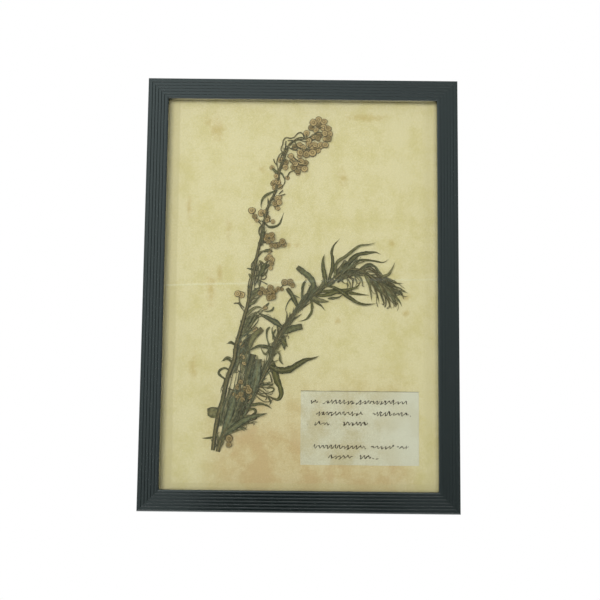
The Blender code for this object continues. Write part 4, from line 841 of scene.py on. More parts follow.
def growth_tree():
    """Geometry Nodes for dried growth: ribbed stems with hairs, creased leaf blades and flower heads.

    The host mesh holds chains of points, which are the paths of stems and leaves, and loose
    points, which are the middles of heads. Each point's attribute part says which it is.
    """
    tree, given = start_tree("dried_growth", (
        ("Geometry", "Geometry"), ("Stem Station", "Float"), ("Rib Height", "Float"),
        ("Hair Density", "Float"), ("Hair Length", "Float"), ("Leaf Station", "Float"),
        ("Leaf Fold", "Float"), ("Leaf Thickness", "Float"), ("Crumple", "Float"), ("Tip Power", "Float"),
        ("Head Height", "Float"), ("Glass Height", "Float"), ("Seed", "Int"), ("Place", "Vector"),
        ("Stem", "Material"), ("Leaf", "Material"), ("Flower", "Material")))
    place = add_node(tree, "GeometryNodeInputPosition")
    x, y, z = add_node(tree, "ShaderNodeSeparateXYZ", [place]).outputs
    part, half_width, blunt, along = (
        add_node(tree, "GeometryNodeInputNamedAttribute", {"Name": name}, data_type="FLOAT")
        for name in ("part", "half_width", "blunt", "along"))

    def kept(number):
        """The points of the host that are of one part."""
        chosen = add_node(tree, "FunctionNodeCompare", [part, number], data_type="FLOAT", operation="EQUAL")
        return add_node(tree, "GeometryNodeSeparateGeometry",
                        {"Geometry": given["Geometry"], "Selection": chosen}, domain="POINT")

    def marked(geometry, values):
        """The geometry with values kept on its points, for the materials and for later nodes."""
        for name, value in values.items():
            geometry = add_node(tree, "GeometryNodeStoreNamedAttribute",
                                {"Geometry": geometry, "Name": name, "Value": value},
                                data_type="FLOAT", domain="POINT")
        return geometry

    def smooth_paths(chains, station):
        """Smooth curves through chains of points, with a point at every station."""
        curve = add_node(tree, "GeometryNodeMeshToCurve", {"Mesh": chains})
        curve = add_node(tree, "GeometryNodeCurveSplineType", {"Curve": curve}, spline_type="CATMULL_ROM")
        curve = add_node(tree, "GeometryNodeResampleCurve", {"Curve": curve, "Length": station},
                         mode="LENGTH")
        curve = add_node(tree, "GeometryNodeSetCurveNormal", {"Curve": curve}, mode="Z_UP")
        return marked(curve, {"along": add_node(tree, "GeometryNodeSplineParameter").outputs["Factor"]})

    def crumpled(geometry, scale, strength):
        """The geometry with every point moved by a smooth noise."""
        seed = add_node(tree, "ShaderNodeMath", [given["Seed"], 7.31], operation="MULTIPLY")
        noise = add_node(tree, "ShaderNodeTexNoise",
                         {"Vector": place, "W": seed, "Scale": scale, "Detail": 2.0},
                         noise_dimensions="4D").outputs["Color"]
        centred = add_node(tree, "ShaderNodeVectorMath", [noise, (0.5, 0.5, 0.5)], operation="SUBTRACT")
        offset = add_node(tree, "ShaderNodeVectorMath", {0: centred, "Scale": strength}, operation="SCALE")
        return add_node(tree, "GeometryNodeSetPosition", {"Geometry": geometry, "Offset": offset})

    def ring(points, ring_x, ring_y):
        """A section of so many points, each moved to the given x and y."""
        circle = add_node(tree, "GeometryNodeCurvePrimitiveCircle", {"Resolution": points, "Radius": 1.0})
        moved = add_node(tree, "ShaderNodeCombineXYZ", [ring_x, ring_y])
        return add_node(tree, "GeometryNodeSetPosition", {"Geometry": circle, "Position": moved})

    # Stems: a round section with nine ribs, pressed flat
    angle = add_node(tree, "ShaderNodeMath", [y, x], operation="ARCTAN2")
    nine = add_node(tree, "ShaderNodeMath", [angle, STEM_RIBS], operation="MULTIPLY")
    rib = add_node(tree, "ShaderNodeMath", [nine], operation="COSINE")
    swell = add_node(tree, "ShaderNodeMath", [rib, given["Rib Height"], 1.0], operation="MULTIPLY_ADD")
    ribbed_x = add_node(tree, "ShaderNodeMath", [x, swell], operation="MULTIPLY")
    ribbed_y = add_node(tree, "ShaderNodeMath", [y, swell], operation="MULTIPLY")
    pressed_y = add_node(tree, "ShaderNodeMath", [ribbed_y, STEM_FLATNESS], operation="MULTIPLY")
    section = ring(36, ribbed_x, pressed_y)
    round_y = add_node(tree, "ShaderNodeMath", [y, STEM_FLATNESS], operation="DIVIDE")
    angle = add_node(tree, "ShaderNodeMath", [round_y, x], operation="ARCTAN2")
    nine = add_node(tree, "ShaderNodeMath", [angle, STEM_RIBS], operation="MULTIPLY")
    section = marked(section,
                     {"rib": add_node(tree, "ShaderNodeMath", [nine], operation="COSINE"), "across": x})
    stems = add_node(tree, "GeometryNodeCurveToMesh",
                     {"Curve": smooth_paths(kept(STEM_PART), given["Stem Station"]),
                      "Profile Curve": section,
                      "Scale": half_width, "Fill Caps": True})
    stems = crumpled(stems, 0.35, 0.4)
    # Hairs: short stiff bristles all over the stems, each with a lean of its own
    roots = add_node(tree, "GeometryNodeDistributePointsOnFaces",
                     {"Mesh": stems, "Density": given["Hair Density"], "Seed": given["Seed"]})
    hair = add_node(tree, "GeometryNodeMeshCone",
                    {"Vertices": 3, "Radius Top": 0.006, "Radius Bottom": 0.03,
                     "Depth": given["Hair Length"]},
                    fill_type="NONE")
    lean = add_node(tree, "FunctionNodeRandomValue",
                    {0: (-0.5, -0.5, 0.0), 1: (0.5, 0.5, 3.0), "Seed": given["Seed"]},
                    data_type="FLOAT_VECTOR")
    leaning = add_node(tree, "FunctionNodeRotateRotation",
                       {"Rotation": roots.outputs["Rotation"], "Rotate By": lean}, rotation_space="LOCAL")
    hairs = add_node(tree, "GeometryNodeInstanceOnPoints",
                     {"Points": roots.outputs["Points"], "Instance": hair, "Rotation": leaning})
    hairs = add_node(tree, "GeometryNodeRealizeInstances", [hairs])

    # Leaves: widest past the foot, then tapered to a point, or to a broken end where it is blunt
    foot = add_node(tree, "ShaderNodeMath", [along, 1.7, 0.5], operation="MULTIPLY_ADD")
    foot = add_node(tree, "ShaderNodeMath", [foot, 1.0], operation="MINIMUM")
    pointed = add_node(tree, "ShaderNodeMath", [along, given["Tip Power"]], operation="POWER")
    pointed = add_node(tree, "ShaderNodeMath", [1.0, pointed], operation="SUBTRACT")
    broken = add_node(tree, "ShaderNodeMath", [along, -0.2, 1.0], operation="MULTIPLY_ADD")
    taper = add_node(tree, "ShaderNodeMix", {0: blunt, 2: pointed, 3: broken}, data_type="FLOAT")
    # The margin is uneven where the dry blade has shrunk and curled
    shrink = add_node(tree, "ShaderNodeTexNoise", {"Vector": place, "Scale": 0.3, "Detail": 2.0})
    half = add_node(tree, "ShaderNodeMath", [shrink, 0.7, 0.65], operation="MULTIPLY_ADD")
    for factor in (half_width, foot, taper):
        half = add_node(tree, "ShaderNodeMath", [half, factor], operation="MULTIPLY")
    half = add_node(tree, "ShaderNodeMath", [half, 0.07], operation="MAXIMUM")
    roll = add_node(tree, "ShaderNodeTexNoise", {"Vector": place, "Scale": 0.09, "Detail": 1.0})
    roll = add_node(tree, "ShaderNodeMath", [roll, 1.6, -0.8], operation="MULTIPLY_ADD")
    widest = add_node(tree, "ShaderNodeMath", [half_width, 0.8], operation="MAXIMUM")
    tilt = add_node(tree, "ShaderNodeMath", [roll, widest], operation="DIVIDE")
    leaf_paths = add_node(tree, "GeometryNodeSetCurveTilt",
                          {"Curve": smooth_paths(kept(LEAF_PART), given["Leaf Station"]), "Tilt": tilt})
    # The blade's section is a lens, folded at the midrib and finely creased
    crease = add_node(tree, "ShaderNodeMath", [x, 14.0], operation="MULTIPLY")
    crease = add_node(tree, "ShaderNodeMath", [crease], operation="COSINE")
    crease = add_node(tree, "ShaderNodeMath", [crease, 0.02], operation="MULTIPLY")
    side = add_node(tree, "ShaderNodeMath", [x], operation="ABSOLUTE")
    rise = add_node(tree, "ShaderNodeMath", [side, given["Leaf Fold"], crease], operation="MULTIPLY_ADD")
    lens = add_node(tree, "ShaderNodeMath", [y, given["Leaf Thickness"]], operation="MULTIPLY")
    lens = add_node(tree, "ShaderNodeMath", [lens, rise], operation="SUBTRACT")
    blade = marked(ring(14, x, lens), {"across": x})
    leaves = add_node(tree, "GeometryNodeCurveToMesh",
                      {"Curve": leaf_paths, "Profile Curve": blade, "Scale": half, "Fill Caps": True})
    leaves = crumpled(leaves, 0.3, given["Crumple"])

    # Heads: two whorls of bracts bent outwards, two whorls of bristles and two pleated buttons
    head_parts = add_node(tree, "GeometryNodeJoinGeometry")
    outward = add_node(tree, "ShaderNodeVectorMath", [place], operation="NORMALIZE")
    for number, (count, root, reach, thickness, lowest, highest) in enumerate(WHORLS):
        spike = add_node(tree, "GeometryNodeMeshCone",
                         {"Vertices": 4, "Radius Top": thickness / 4, "Radius Bottom": thickness,
                          "Depth": 1.0},
                         fill_type="NGON")
        circle = add_node(tree, "GeometryNodeMeshCircle", {"Vertices": count, "Radius": root})
        up = add_node(tree, "FunctionNodeRandomValue",
                      {0: (-0.22, -0.22, lowest), 1: (0.22, 0.22, highest), "Seed": number},
                      data_type="FLOAT_VECTOR")
        aim = add_node(tree, "ShaderNodeVectorMath", [outward, up], operation="ADD")
        turned = add_node(tree, "FunctionNodeAlignRotationToVector", {"Vector": aim}, axis="Z")
        length = add_node(tree, "FunctionNodeRandomValue",
                          {0: (0.8, 0.8, reach * 0.82), 1: (1.2, 1.2, reach * 1.12), "Seed": number + 10},
                          data_type="FLOAT_VECTOR")
        spikes = add_node(tree, "GeometryNodeInstanceOnPoints",
                          {"Points": circle, "Instance": spike, "Rotation": turned, "Scale": length})
        set_inputs(head_parts, [spikes])
    for radius, height, pleats in BUTTONS:
        button = add_node(tree, "GeometryNodeMeshUVSphere", {"Segments": 44, "Rings": 6, "Radius": 1.0})
        angle = add_node(tree, "ShaderNodeMath", [y, x], operation="ARCTAN2")
        angle = add_node(tree, "ShaderNodeMath", [angle, pleats], operation="MULTIPLY")
        pleat = add_node(tree, "ShaderNodeMath", [angle], operation="COSINE")
        spread = add_node(tree, "ShaderNodeMath", [pleat, radius * 0.06, radius], operation="MULTIPLY_ADD")
        spread = add_node(tree, "ShaderNodeCombineXYZ", [spread, spread, height])
        pleated = add_node(tree, "ShaderNodeVectorMath", [place, spread], operation="MULTIPLY")
        button = add_node(tree, "GeometryNodeSetPosition", {"Geometry": button, "Position": pleated})
        set_inputs(head_parts, [button])
    head = add_node(tree, "GeometryNodeRealizeInstances", [head_parts])
    level = add_node(tree, "ShaderNodeVectorMath", [place, (1, 1, 0)], operation="MULTIPLY")
    head = marked(head, {"outward": add_node(tree, "ShaderNodeVectorMath", [level],
                                             operation="LENGTH").outputs["Value"]})
    flatter = add_node(tree, "ShaderNodeCombineXYZ", [1.0, 1.0, given["Head Height"]])
    head = add_node(tree, "GeometryNodeTransform", {"Geometry": head, "Scale": flatter})
    turn = add_node(tree, "FunctionNodeRandomValue",
                    {0: (-0.3, -0.3, 0.0), 1: (0.3, 0.3, 6.3), "Seed": given["Seed"]},
                    data_type="FLOAT_VECTOR")
    heads = add_node(tree, "GeometryNodeInstanceOnPoints",
                     {"Points": kept(HEAD_PART), "Instance": head, "Rotation": turn, "Scale": half_width})
    heads = add_node(tree, "GeometryNodeRealizeInstances", [heads])
    heads = crumpled(heads, 0.35, 1.3)

    everything = add_node(tree, "GeometryNodeJoinGeometry")
    for geometry, number in ((stems, STEM_PART), (hairs, STEM_PART), (leaves, LEAF_PART),
                             (heads, HEAD_PART)):
        set_inputs(everything, [marked(geometry, {"part": number})])
    # Pressed between the sheet and the glass
    height = add_node(tree, "ShaderNodeMath", [z, 0.15], operation="MAXIMUM")
    height = add_node(tree, "ShaderNodeMath", [height, given["Glass Height"]], operation="MINIMUM")
    flattened = add_node(tree, "ShaderNodeCombineXYZ", [x, y, height])
    pressed = add_node(tree, "GeometryNodeSetPosition", {"Geometry": everything, "Position": flattened})
    laid = add_node(tree, "GeometryNodeTransform",
                    {"Geometry": pressed, "Translation": given["Place"], "Rotation": (math.pi / 2, 0, 0),
                     "Scale": (MM, MM, MM)})
    laid = add_node(tree, "GeometryNodeSetShadeSmooth", {"Geometry": laid})
    real = add_node(tree, "GeometryNodeRealizeInstances", [laid])
    real = add_node(tree, "GeometryNodeSetMaterial", {"Geometry": real, "Material": given["Stem"]})
    for material, number in (("Leaf", LEAF_PART), ("Flower", HEAD_PART)):
        chosen = add_node(tree, "ShaderNodeMath", [part, number - 0.5], operation="GREATER_THAN")
        real = add_node(tree, "GeometryNodeSetMaterial",
                        {"Geometry": real, "Selection": chosen, "Material": given[material]})
    add_node(tree, "NodeGroupOutput", [real])
    return tree


def dry_stem():
    """Dried herb stem: brown-green and ribbed, with straw-coloured painted highlights on the crests and
    painted shade in the grooves and on the sides.
    """
    material, tree, shader = start_material("dry_stem", 0.74)
    mottle = add_node(tree, "ShaderNodeTexNoise",
                      {"Vector": in_millimetres(tree), "Scale": 0.7, "Detail": 5.0})
    rib, across = (add_node(tree, "ShaderNodeAttribute", attribute_name=name).outputs["Fac"]
                   for name in ("rib", "across"))
    side = add_node(tree, "ShaderNodeMath", [across], operation="ABSOLUTE")
    # Painted highlight on the rib crests and painted shade in the grooves
    colour = coat(tree, "675C38", "9A8A5C", rib, -0.6, 1.0)
    # Painted shade on the stem's rounded sides
    colour = coat(tree, colour, "433D22", side, 0.15, 0.8, 0.9, "SMOOTHSTEP")
    colour = coat(tree, colour, "48422A", mottle, 0.42, 0.62, 0.8)
    bump = add_node(tree, "ShaderNodeBump", {"Height": mottle, "Strength": 0.4, "Distance": 0.2 * MM})
    set_inputs(shader, {"Base Color": colour, "Normal": bump})
    return material


def dry_leaf():
    """Dried leaf: olive to grey-green or brown, flecked, paler at the midrib, darker at margin and tip."""
    material, tree, shader = start_material("dry_leaf", 0.66)
    place = in_millimetres(tree)
    tone, across, along, shade = (add_node(tree, "ShaderNodeAttribute", attribute_name=name).outputs["Fac"]
                                  for name in ("tone", "across", "along", "shade"))
    mottle = add_node(tree, "ShaderNodeTexNoise", {"Vector": place, "Scale": 0.45, "Detail": 6.0})
    flecks = add_node(tree, "ShaderNodeTexNoise", {"Vector": place, "Scale": 0.9, "Detail": 3.0})
    veins = add_node(tree, "ShaderNodeTexNoise", {"Vector": place, "Scale": 1.6, "Detail": 3.0})
    side = add_node(tree, "ShaderNodeMath", [across], operation="ABSOLUTE")
    colour = coat(tree, "5F5A20", "70765C", tone)
    colour = coat(tree, colour, "5E4F30", tone, 1.0, 1.8)
    # Some leaves are paler or darker all over
    colour = coat(tree, colour, "8F8458", shade, 0.55, 0.9, 0.7)
    colour = coat(tree, colour, "2F2812", shade, 0.5, 0.15, 0.5)
    colour = coat(tree, colour, "403A1C", mottle, 0.42, 0.62, 0.75)
    colour = coat(tree, colour, "9A9470", flecks, 0.56, 0.68, 0.55)
    colour = coat(tree, colour, "857C4C", side, 0.3, 0.05, 0.5, "SMOOTHSTEP")
    colour = coat(tree, colour, "37311A", side, 0.6, 0.95, 0.75)
    colour = coat(tree, colour, "4F3E20", along, 0.75, 1.0, 0.5)
    bump = add_node(tree, "ShaderNodeBump", {"Height": veins, "Strength": 0.4, "Distance": 0.2 * MM})
    set_inputs(shader, {"Base Color": colour, "Normal": bump})
    return material


def dry_flower():
    """Dried flower heads: a straw-coloured middle, a darker ring round it, tan bracts and a brown rim."""
    material, tree, shader = start_material("dry_flower", 0.8)
    outward, tone = (add_node(tree, "ShaderNodeAttribute", attribute_name=name).outputs["Fac"]
                     for name in ("outward", "tone"))
    mottle = add_node(tree, "ShaderNodeTexNoise",
                      {"Vector": in_millimetres(tree), "Scale": 0.5, "Detail": 4.0})
    colour = coat(tree, "CBB480", "B0965F", tone)
    colour = coat(tree, colour, "664F2A", outward, 0.16, 0.26, 0.8, "SMOOTHSTEP")
    colour = coat(tree, colour, "C2A873", outward, 0.34, 0.46, 0.9, "SMOOTHSTEP")
    colour = coat(tree, colour, "3A2812", outward, 0.74, 0.84, 1.0, "SMOOTHSTEP")
    colour = coat(tree, colour, "7A6038", mottle, 0.5, 0.68, 0.45)
    # The heads that lie under leaves have stayed browner
    colour = coat(tree, colour, "5C4E2A", tone, 0.74, 0.8, 0.5)
    set_inputs(shader, {"Base Color": colour})
    return material


growth = growth_tree()
stem_finish, leaf_finish, flower_finish = dry_stem(), dry_leaf(), dry_flower()
chance = random.Random(7)


class Layout:
    """Paths and points of one piece of the plant, in millimetres on the sheet."""

    def __init__(self):
        self.points, self.links, self.values = [], [], []
        self.head_level, self.palest_head = LEVEL_STEM, 0.0

    def add_path(self, part, half_widths, blunt, tone, points):
        first = len(self.points)
        self.points += points
        self.links += [(i, i + 1) for i in range(first, len(self.points) - 1)]
        shade = chance.random()
        self.values += [(part, half, blunt, tone, shade) for half in half_widths]

    def add_stem(self, points, level=LEVEL_STEM):
        self.add_path(STEM_PART, [p[2] for p in points], 0.0, chance.random(),
                      [(p[0], p[1], level) for p in points])

    def add_stalk(self, points, half_width=STALK_HALF_WIDTH):
        self.add_stem([(x, z, half_width) for x, z in points])

    def add_leaf(self, width, points, level, blunt=False, tone=0.3):
        """A leaf that leaves the stem's level and settles at its own."""
        heights = [LEVEL_STEM + (level - LEVEL_STEM) * min(1.0, i / 1.5) for i in range(len(points))]
        placed = [(x, z, height) for (x, z), height in zip(points, heights)]
        self.add_path(LEAF_PART, [width * LEAF_FULLNESS / 2] * len(points), float(blunt), tone, placed)

    def add_head(self, x, z, diameter):
        self.points.append((x, z, self.head_level + chance.uniform(-0.7, 0.9)))
        self.values.append((HEAD_PART, diameter * HEAD_FULLNESS / 2, 0.0,
                            max(self.palest_head, chance.random()),
                            chance.random()))

    def add_fan(self, first, last, count, width, tone, wander=1.3):
        """Narrow leaves side by side, each drawn between two paths of as many points, with a curled tip."""
        for number in range(count):
            share = (number + chance.uniform(0.2, 0.8)) / count
            points = [(x + (far_x - x) * share + chance.uniform(-wander, wander),
                       z + (far_z - z) * share + chance.uniform(-wander, wander))
                      for (x, z), (far_x, far_z) in zip(first, last)]
            if chance.random() < 0.3:
                points.pop()
            run = (Vector(points[-1]) - Vector(points[-2])).normalized()
            bend, step = Matrix.Rotation(chance.uniform(-0.85, 0.85), 2), chance.uniform(0.6, 1.4)
            for _ in range(3):
                run.rotate(bend)
                points.append(tuple(Vector(points[-1]) + run * step))
            self.add_leaf(width * chance.uniform(0.6, 1.3), points, LEVEL_STEM + chance.uniform(-0.6, 1.8),
                          0.3 * tone, tone + chance.uniform(-0.5, 0.4))

    def add_clinging(self, stem, count, shortest, longest, width):
        """Small bracts and withered leaves that cling to a stem, on either side by turns."""
        for number in range(count):
            place = (number + chance.random()) / count * (len(stem) - 1)
            link = min(int(place), len(stem) - 2)
            low, high = Vector(stem[link][:2]), Vector(stem[link + 1][:2])
            base = low.lerp(high, place - link)
            along = (high - low).normalized()
            side = Vector((-along.y, along.x)) * (1 if number % 2 else -1)
            length = chance.uniform(shortest, longest)
            lean, hook = chance.uniform(0.1, 0.6), chance.uniform(-0.5, 0.5)
            points = []
            for share in (0.0, 0.35, 0.7, 1.0):
                out = stem[link][2] * 0.5 + length * share * (lean + hook * share)
                points.append(tuple(base + along * length * share + side * out))
            self.add_leaf(width * chance.uniform(0.6, 1.3), points, LEVEL_STEM + chance.uniform(-0.6, 1.3),
                          False, chance.uniform(0.4, 2.0))

    def add_spray(self, spray):
        for points in spray["stalks"]:
            self.add_stalk(points)
        for x, z, diameter in spray["heads"]:
            self.add_head(x, z, diameter)

    def add_fine(self, fine):
        """The finer growth of one piece: curled stalks, more heads, small leaves and fans of leaves."""
        for points in fine.get("curls", []):
            self.add_stalk(points, CURL_HALF_WIDTH)
        for x, z, diameter in fine.get("heads", []):
            self.add_head(x, z, diameter)
        for width, points in fine.get("leaves", []):
            self.add_leaf(width, points, LEVEL_STEM + chance.uniform(-0.5, 1.2), False,
                          chance.uniform(0.1, 0.7))
        for first, last, count, width, tone in fine.get("fans", []):
            self.add_fan(first, last, count, width, tone)

    def grown(self, node, seed):
        host = bpy.data.meshes.new(node)
        host.from_pydata(self.points, self.links, [])
        for number, name in enumerate(("part", "half_width", "blunt", "tone", "shade")):
            layer = host.attributes.new(name, "FLOAT", "POINT")
            layer.data.foreach_set("value", [value[number] for value in self.values])
        mesh = made_by_nodes(growth, host, {
            "Stem Station": 1.2, "Rib Height": 0.09, "Hair Density": 0.9, "Hair Length": 0.55,
            "Leaf Station": 0.9, "Leaf Fold": 0.16, "Leaf Thickness": 0.07, "Crumple": 0.65,
            "Tip Power": 2.6, "Head Height": 0.42, "Glass Height": 4.3, "Seed": seed,
            "Place": (0, SHEET_FRONT, MIDDLE_Z),
            "Stem": stem_finish, "Leaf": leaf_finish, "Flower": flower_finish})
        return add_piece(mesh, [node])


for number, (name, (level, width, blunt, greyness, points)) in enumerate(LEAVES.items()):
    leaf = Layout()
    leaf.add_leaf(width, points, level, blunt, greyness)
    leaf.grown(name, number + 20)

for number, (name, spray) in enumerate(SPRAYS.items()):
    cluster = Layout()
    if name in HEADS_IN_FRONT:
        cluster.head_level, cluster.palest_head = LEVEL_FRONT, 0.79
    cluster.add_spray(spray)
    cluster.add_fine(FINE_GROWTH.get(name, {}))
    cluster.grown(name, number + 60)

for number, (name, level, stem, leaves, slot) in enumerate((
        ("flowering_stem", LEVEL_STEM, FLOWERING_STEM, FLOWERING_STEM_LEAVES, "dry_stem"),
        ("leafy_stem", LEVEL_LOW_STEM, LEAFY_STEM, LEAFY_STEM_LEAVES, "dry_stem"),
        ("shoot_tip", LEVEL_STEM, SHOOT_TIP, SHOOT_TIP_LEAVES, "dry_leaf"))):
    main = Layout()
    main.add_stem(stem, level)
    for width, points in leaves:
        main.add_leaf(width, points, LEVEL_STEM + chance.uniform(-0.7, 1.2), False,
                      chance.uniform(0.1, 0.7))
    if name == "flowering_stem":
        main.add_spray(FLOWERING_STEM_HEADS)
    main.add_fine(FINE_GROWTH[name])
    for count, shortest, longest, width in CLINGING[name]:
        main.add_clinging(stem, count, shortest, longest, width)
    main.grown(name, number + 80)

# Glass
# A pane of 2 mm float glass, cut to A4 and laid in the rebate behind the lip.
# Its CAD solid is already its true shape.


def float_glass():
    """Float glass: clear and smooth, with the faint haze of old fingermarks."""
    material, tree, shader = start_material("float_glass", 0.02)
    haze = add_node(tree, "ShaderNodeTexNoise",
                    {"Vector": in_millimetres(tree), "Scale": 0.03, "Detail": 3.0})
    rough = add_node(tree, "ShaderNodeMapRange",
                     {"Value": haze, "From Min": 0.4, "From Max": 0.7, "To Min": 0.01, "To Max": 0.04})
    set_inputs(shader, {"Base Color": linear("F6FAF8"), "Transmission Weight": 1.0, "IOR": 1.5,
                        "Roughness": rough})
    return material


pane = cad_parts["glass"]
pane.data.materials.clear()
pane.data.materials.append(float_glass())
pane.visible_shadow = False

# Rails
# Four lengths of reeded hardwood moulding, mitred, glued and pinned at the
# corners. The front and the outer sides are stained black and waxed to a satin
# shine; the back, against the wall, is the bare wood.

RAIL_FACE = 15.5 * MM
LIP_THICKNESS = 3.5 * MM
REBATE = 6.0 * MM
EDGE_ROUNDING = 0.9 * MM
REED_COUNT = 6
REED_DEPTH = 0.32 * MM
REED_FLATNESS = 0.74
REED_STEPS = 16
MITRE_GAP = 0.03 * MM
ROUND_STEPS = 6
frame_low, frame_high = [Vector(corner) for corner in cad_box]
BOX_INSET = 0.002 * MM
FRAME_WIDTH = frame_high.x - frame_low.x - BOX_INSET
FRAME_HEIGHT = frame_high.z - frame_low.z - BOX_INSET
FRAME_DEPTH = frame_high.y - frame_low.y


def moulding_section():
    """Outline of the moulding as (distance in from the outer edge, y), round the section."""
    front = -FRAME_DEPTH
    outline = []
    for step in range(ROUND_STEPS + 1):
        angle = math.pi / 2 * step / ROUND_STEPS
        outline.append((EDGE_ROUNDING * (1 - math.cos(angle)),
                        front + EDGE_ROUNDING * (1 - math.sin(angle))))
    flat = RAIL_FACE - 2 * EDGE_ROUNDING
    pitch = flat / REED_COUNT
    for reed in range(REED_COUNT):
        for step in range(1, REED_STEPS + 1):
            share = step / REED_STEPS
            groove = max(0.0, (abs(2 * share - 1) - REED_FLATNESS) / (1 - REED_FLATNESS)) ** 1.6
            if share == 1.0 and reed == REED_COUNT - 1:
                groove = 0.0
            outline.append((EDGE_ROUNDING + (reed + share) * pitch, front + REED_DEPTH * groove))
    for step in range(1, ROUND_STEPS + 1):
        angle = math.pi / 2 * step / ROUND_STEPS
        outline.append((RAIL_FACE - EDGE_ROUNDING * (1 - math.sin(angle)),
                        front + EDGE_ROUNDING * (1 - math.cos(angle))))
    outline += [(RAIL_FACE, front + LIP_THICKNESS), (RAIL_FACE - REBATE, front + LIP_THICKNESS),
                (RAIL_FACE - REBATE, -0.4 * MM), (RAIL_FACE - REBATE - 0.4 * MM, 0.0), (0.5 * MM, 0.0),
                (0.0, -0.5 * MM)]
    return outline


def moulding_tree():
    """Geometry Nodes for one rail: the section drawn along a line, mitred, turned and set in its place."""
    tree, given = start_tree("mitred_rail", (
        ("Geometry", "Geometry"), ("Length", "Float"), ("Reach", "Float"), ("Turn", "Float"),
        ("Mitre Gap", "Float"), ("Middle", "Vector"), ("Back Depth", "Float"),
        ("Stained", "Material"), ("Bare", "Material")))
    section = add_node(tree, "GeometryNodeMeshToCurve", {"Mesh": given["Geometry"]})
    line = add_node(tree, "GeometryNodeCurvePrimitiveLine", {"Start": (0, 0, -1), "End": (0, 0, 1)})
    rail = add_node(tree, "GeometryNodeCurveToMesh",
                    {"Curve": line, "Profile Curve": section, "Fill Caps": True})
    place = add_node(tree, "GeometryNodeInputPosition")
    inset, depth, side = add_node(tree, "ShaderNodeSeparateXYZ", [place]).outputs
    for name, value in (("inset", inset), ("end", side)):
        rail = add_node(tree, "GeometryNodeStoreNamedAttribute",
                        {"Geometry": rail, "Name": name, "Value": value}, data_type="FLOAT", domain="POINT")
    # Each end is drawn in by the inset, which gives the mitre
    lost = add_node(tree, "ShaderNodeMath", [inset, given["Mitre Gap"]], operation="ADD")
    half = add_node(tree, "ShaderNodeMath", [given["Length"], 0.5], operation="MULTIPLY")
    half = add_node(tree, "ShaderNodeMath", [half, lost], operation="SUBTRACT")
    along = add_node(tree, "ShaderNodeMath", [half, side], operation="MULTIPLY")
    out = add_node(tree, "ShaderNodeMath", [given["Reach"], 0.5], operation="MULTIPLY")
    out = add_node(tree, "ShaderNodeMath", [out, inset], operation="SUBTRACT")
    mitred = add_node(tree, "ShaderNodeCombineXYZ", [along, depth, out])
    rail = add_node(tree, "GeometryNodeSetPosition", {"Geometry": rail, "Position": mitred})
    turn = add_node(tree, "ShaderNodeCombineXYZ", {1: given["Turn"]})
    rail = add_node(tree, "GeometryNodeTransform",
                    {"Geometry": rail, "Translation": given["Middle"], "Rotation": turn})
    rail = add_node(tree, "GeometryNodeRealizeInstances", [rail])
    rail = add_node(tree, "GeometryNodeSetMaterial", {"Geometry": rail, "Material": given["Stained"]})
    behind = add_node(tree, "ShaderNodeMath", [depth, given["Back Depth"]], operation="GREATER_THAN")
    rail = add_node(tree, "GeometryNodeSetMaterial",
                    {"Geometry": rail, "Selection": behind, "Material": given["Bare"]})
    add_node(tree, "NodeGroupOutput", [rail])
    return tree


def black_stain():
    """Spirit-stained and waxed hardwood: nearly black with a green cast, a satin shine and faint grain."""
    material, tree, shader = start_material("black_stain", 0.16)
    grain = add_node(tree, "ShaderNodeTexNoise",
                     {"Vector": in_millimetres(tree), "Scale": 0.3, "Detail": 2.0})
    inset = add_node(tree, "ShaderNodeAttribute", attribute_name="inset").outputs["Fac"]
    colour = coat(tree, "0C1312", "121A19", grain)
    # Painted shade: darker along the rounded outer edge
    colour = coat(tree, colour, "070A0A", inset, 1.1 * MM, 0.3 * MM, easing="SMOOTHSTEP")
    dull = add_node(tree, "ShaderNodeMapRange",
                    {"Value": grain, "From Min": 0.35, "From Max": 0.7, "To Min": 0.14, "To Max": 0.2})
    bump = add_node(tree, "ShaderNodeBump", {"Height": grain, "Strength": 0.05, "Distance": 0.1 * MM})
    set_inputs(shader, {"Base Color": colour, "Roughness": dull, "Normal": bump, "Specular IOR Level": 1.0,
                        "IOR": 1.6, "Coat Weight": 1.0, "Coat Roughness": 0.14})
    return material


def bare_wood():
    """Unfinished hardwood at the back: pale tan and planed, with black stain run over the edge."""
    material, tree, shader = start_material("bare_hardwood", 0.7)
    grain = add_node(tree, "ShaderNodeTexNoise",
                     {"Vector": in_millimetres(tree), "Scale": 0.4, "Detail": 6.0, "Distortion": 0.6})
    inset = add_node(tree, "ShaderNodeAttribute", attribute_name="inset").outputs["Fac"]
    ragged = add_node(tree, "ShaderNodeMath", [grain, 2.0 * MM, inset], operation="MULTIPLY_ADD")
    colour = coat(tree, "B08C5E", "8F6B43", grain)
    colour = coat(tree, colour, "2A2622", ragged, 2.6 * MM, 1.6 * MM, easing="SMOOTHSTEP")
    bump = add_node(tree, "ShaderNodeBump", {"Height": grain, "Strength": 0.25, "Distance": 0.2 * MM})
    set_inputs(shader, {"Base Color": colour, "Normal": bump})
    return material


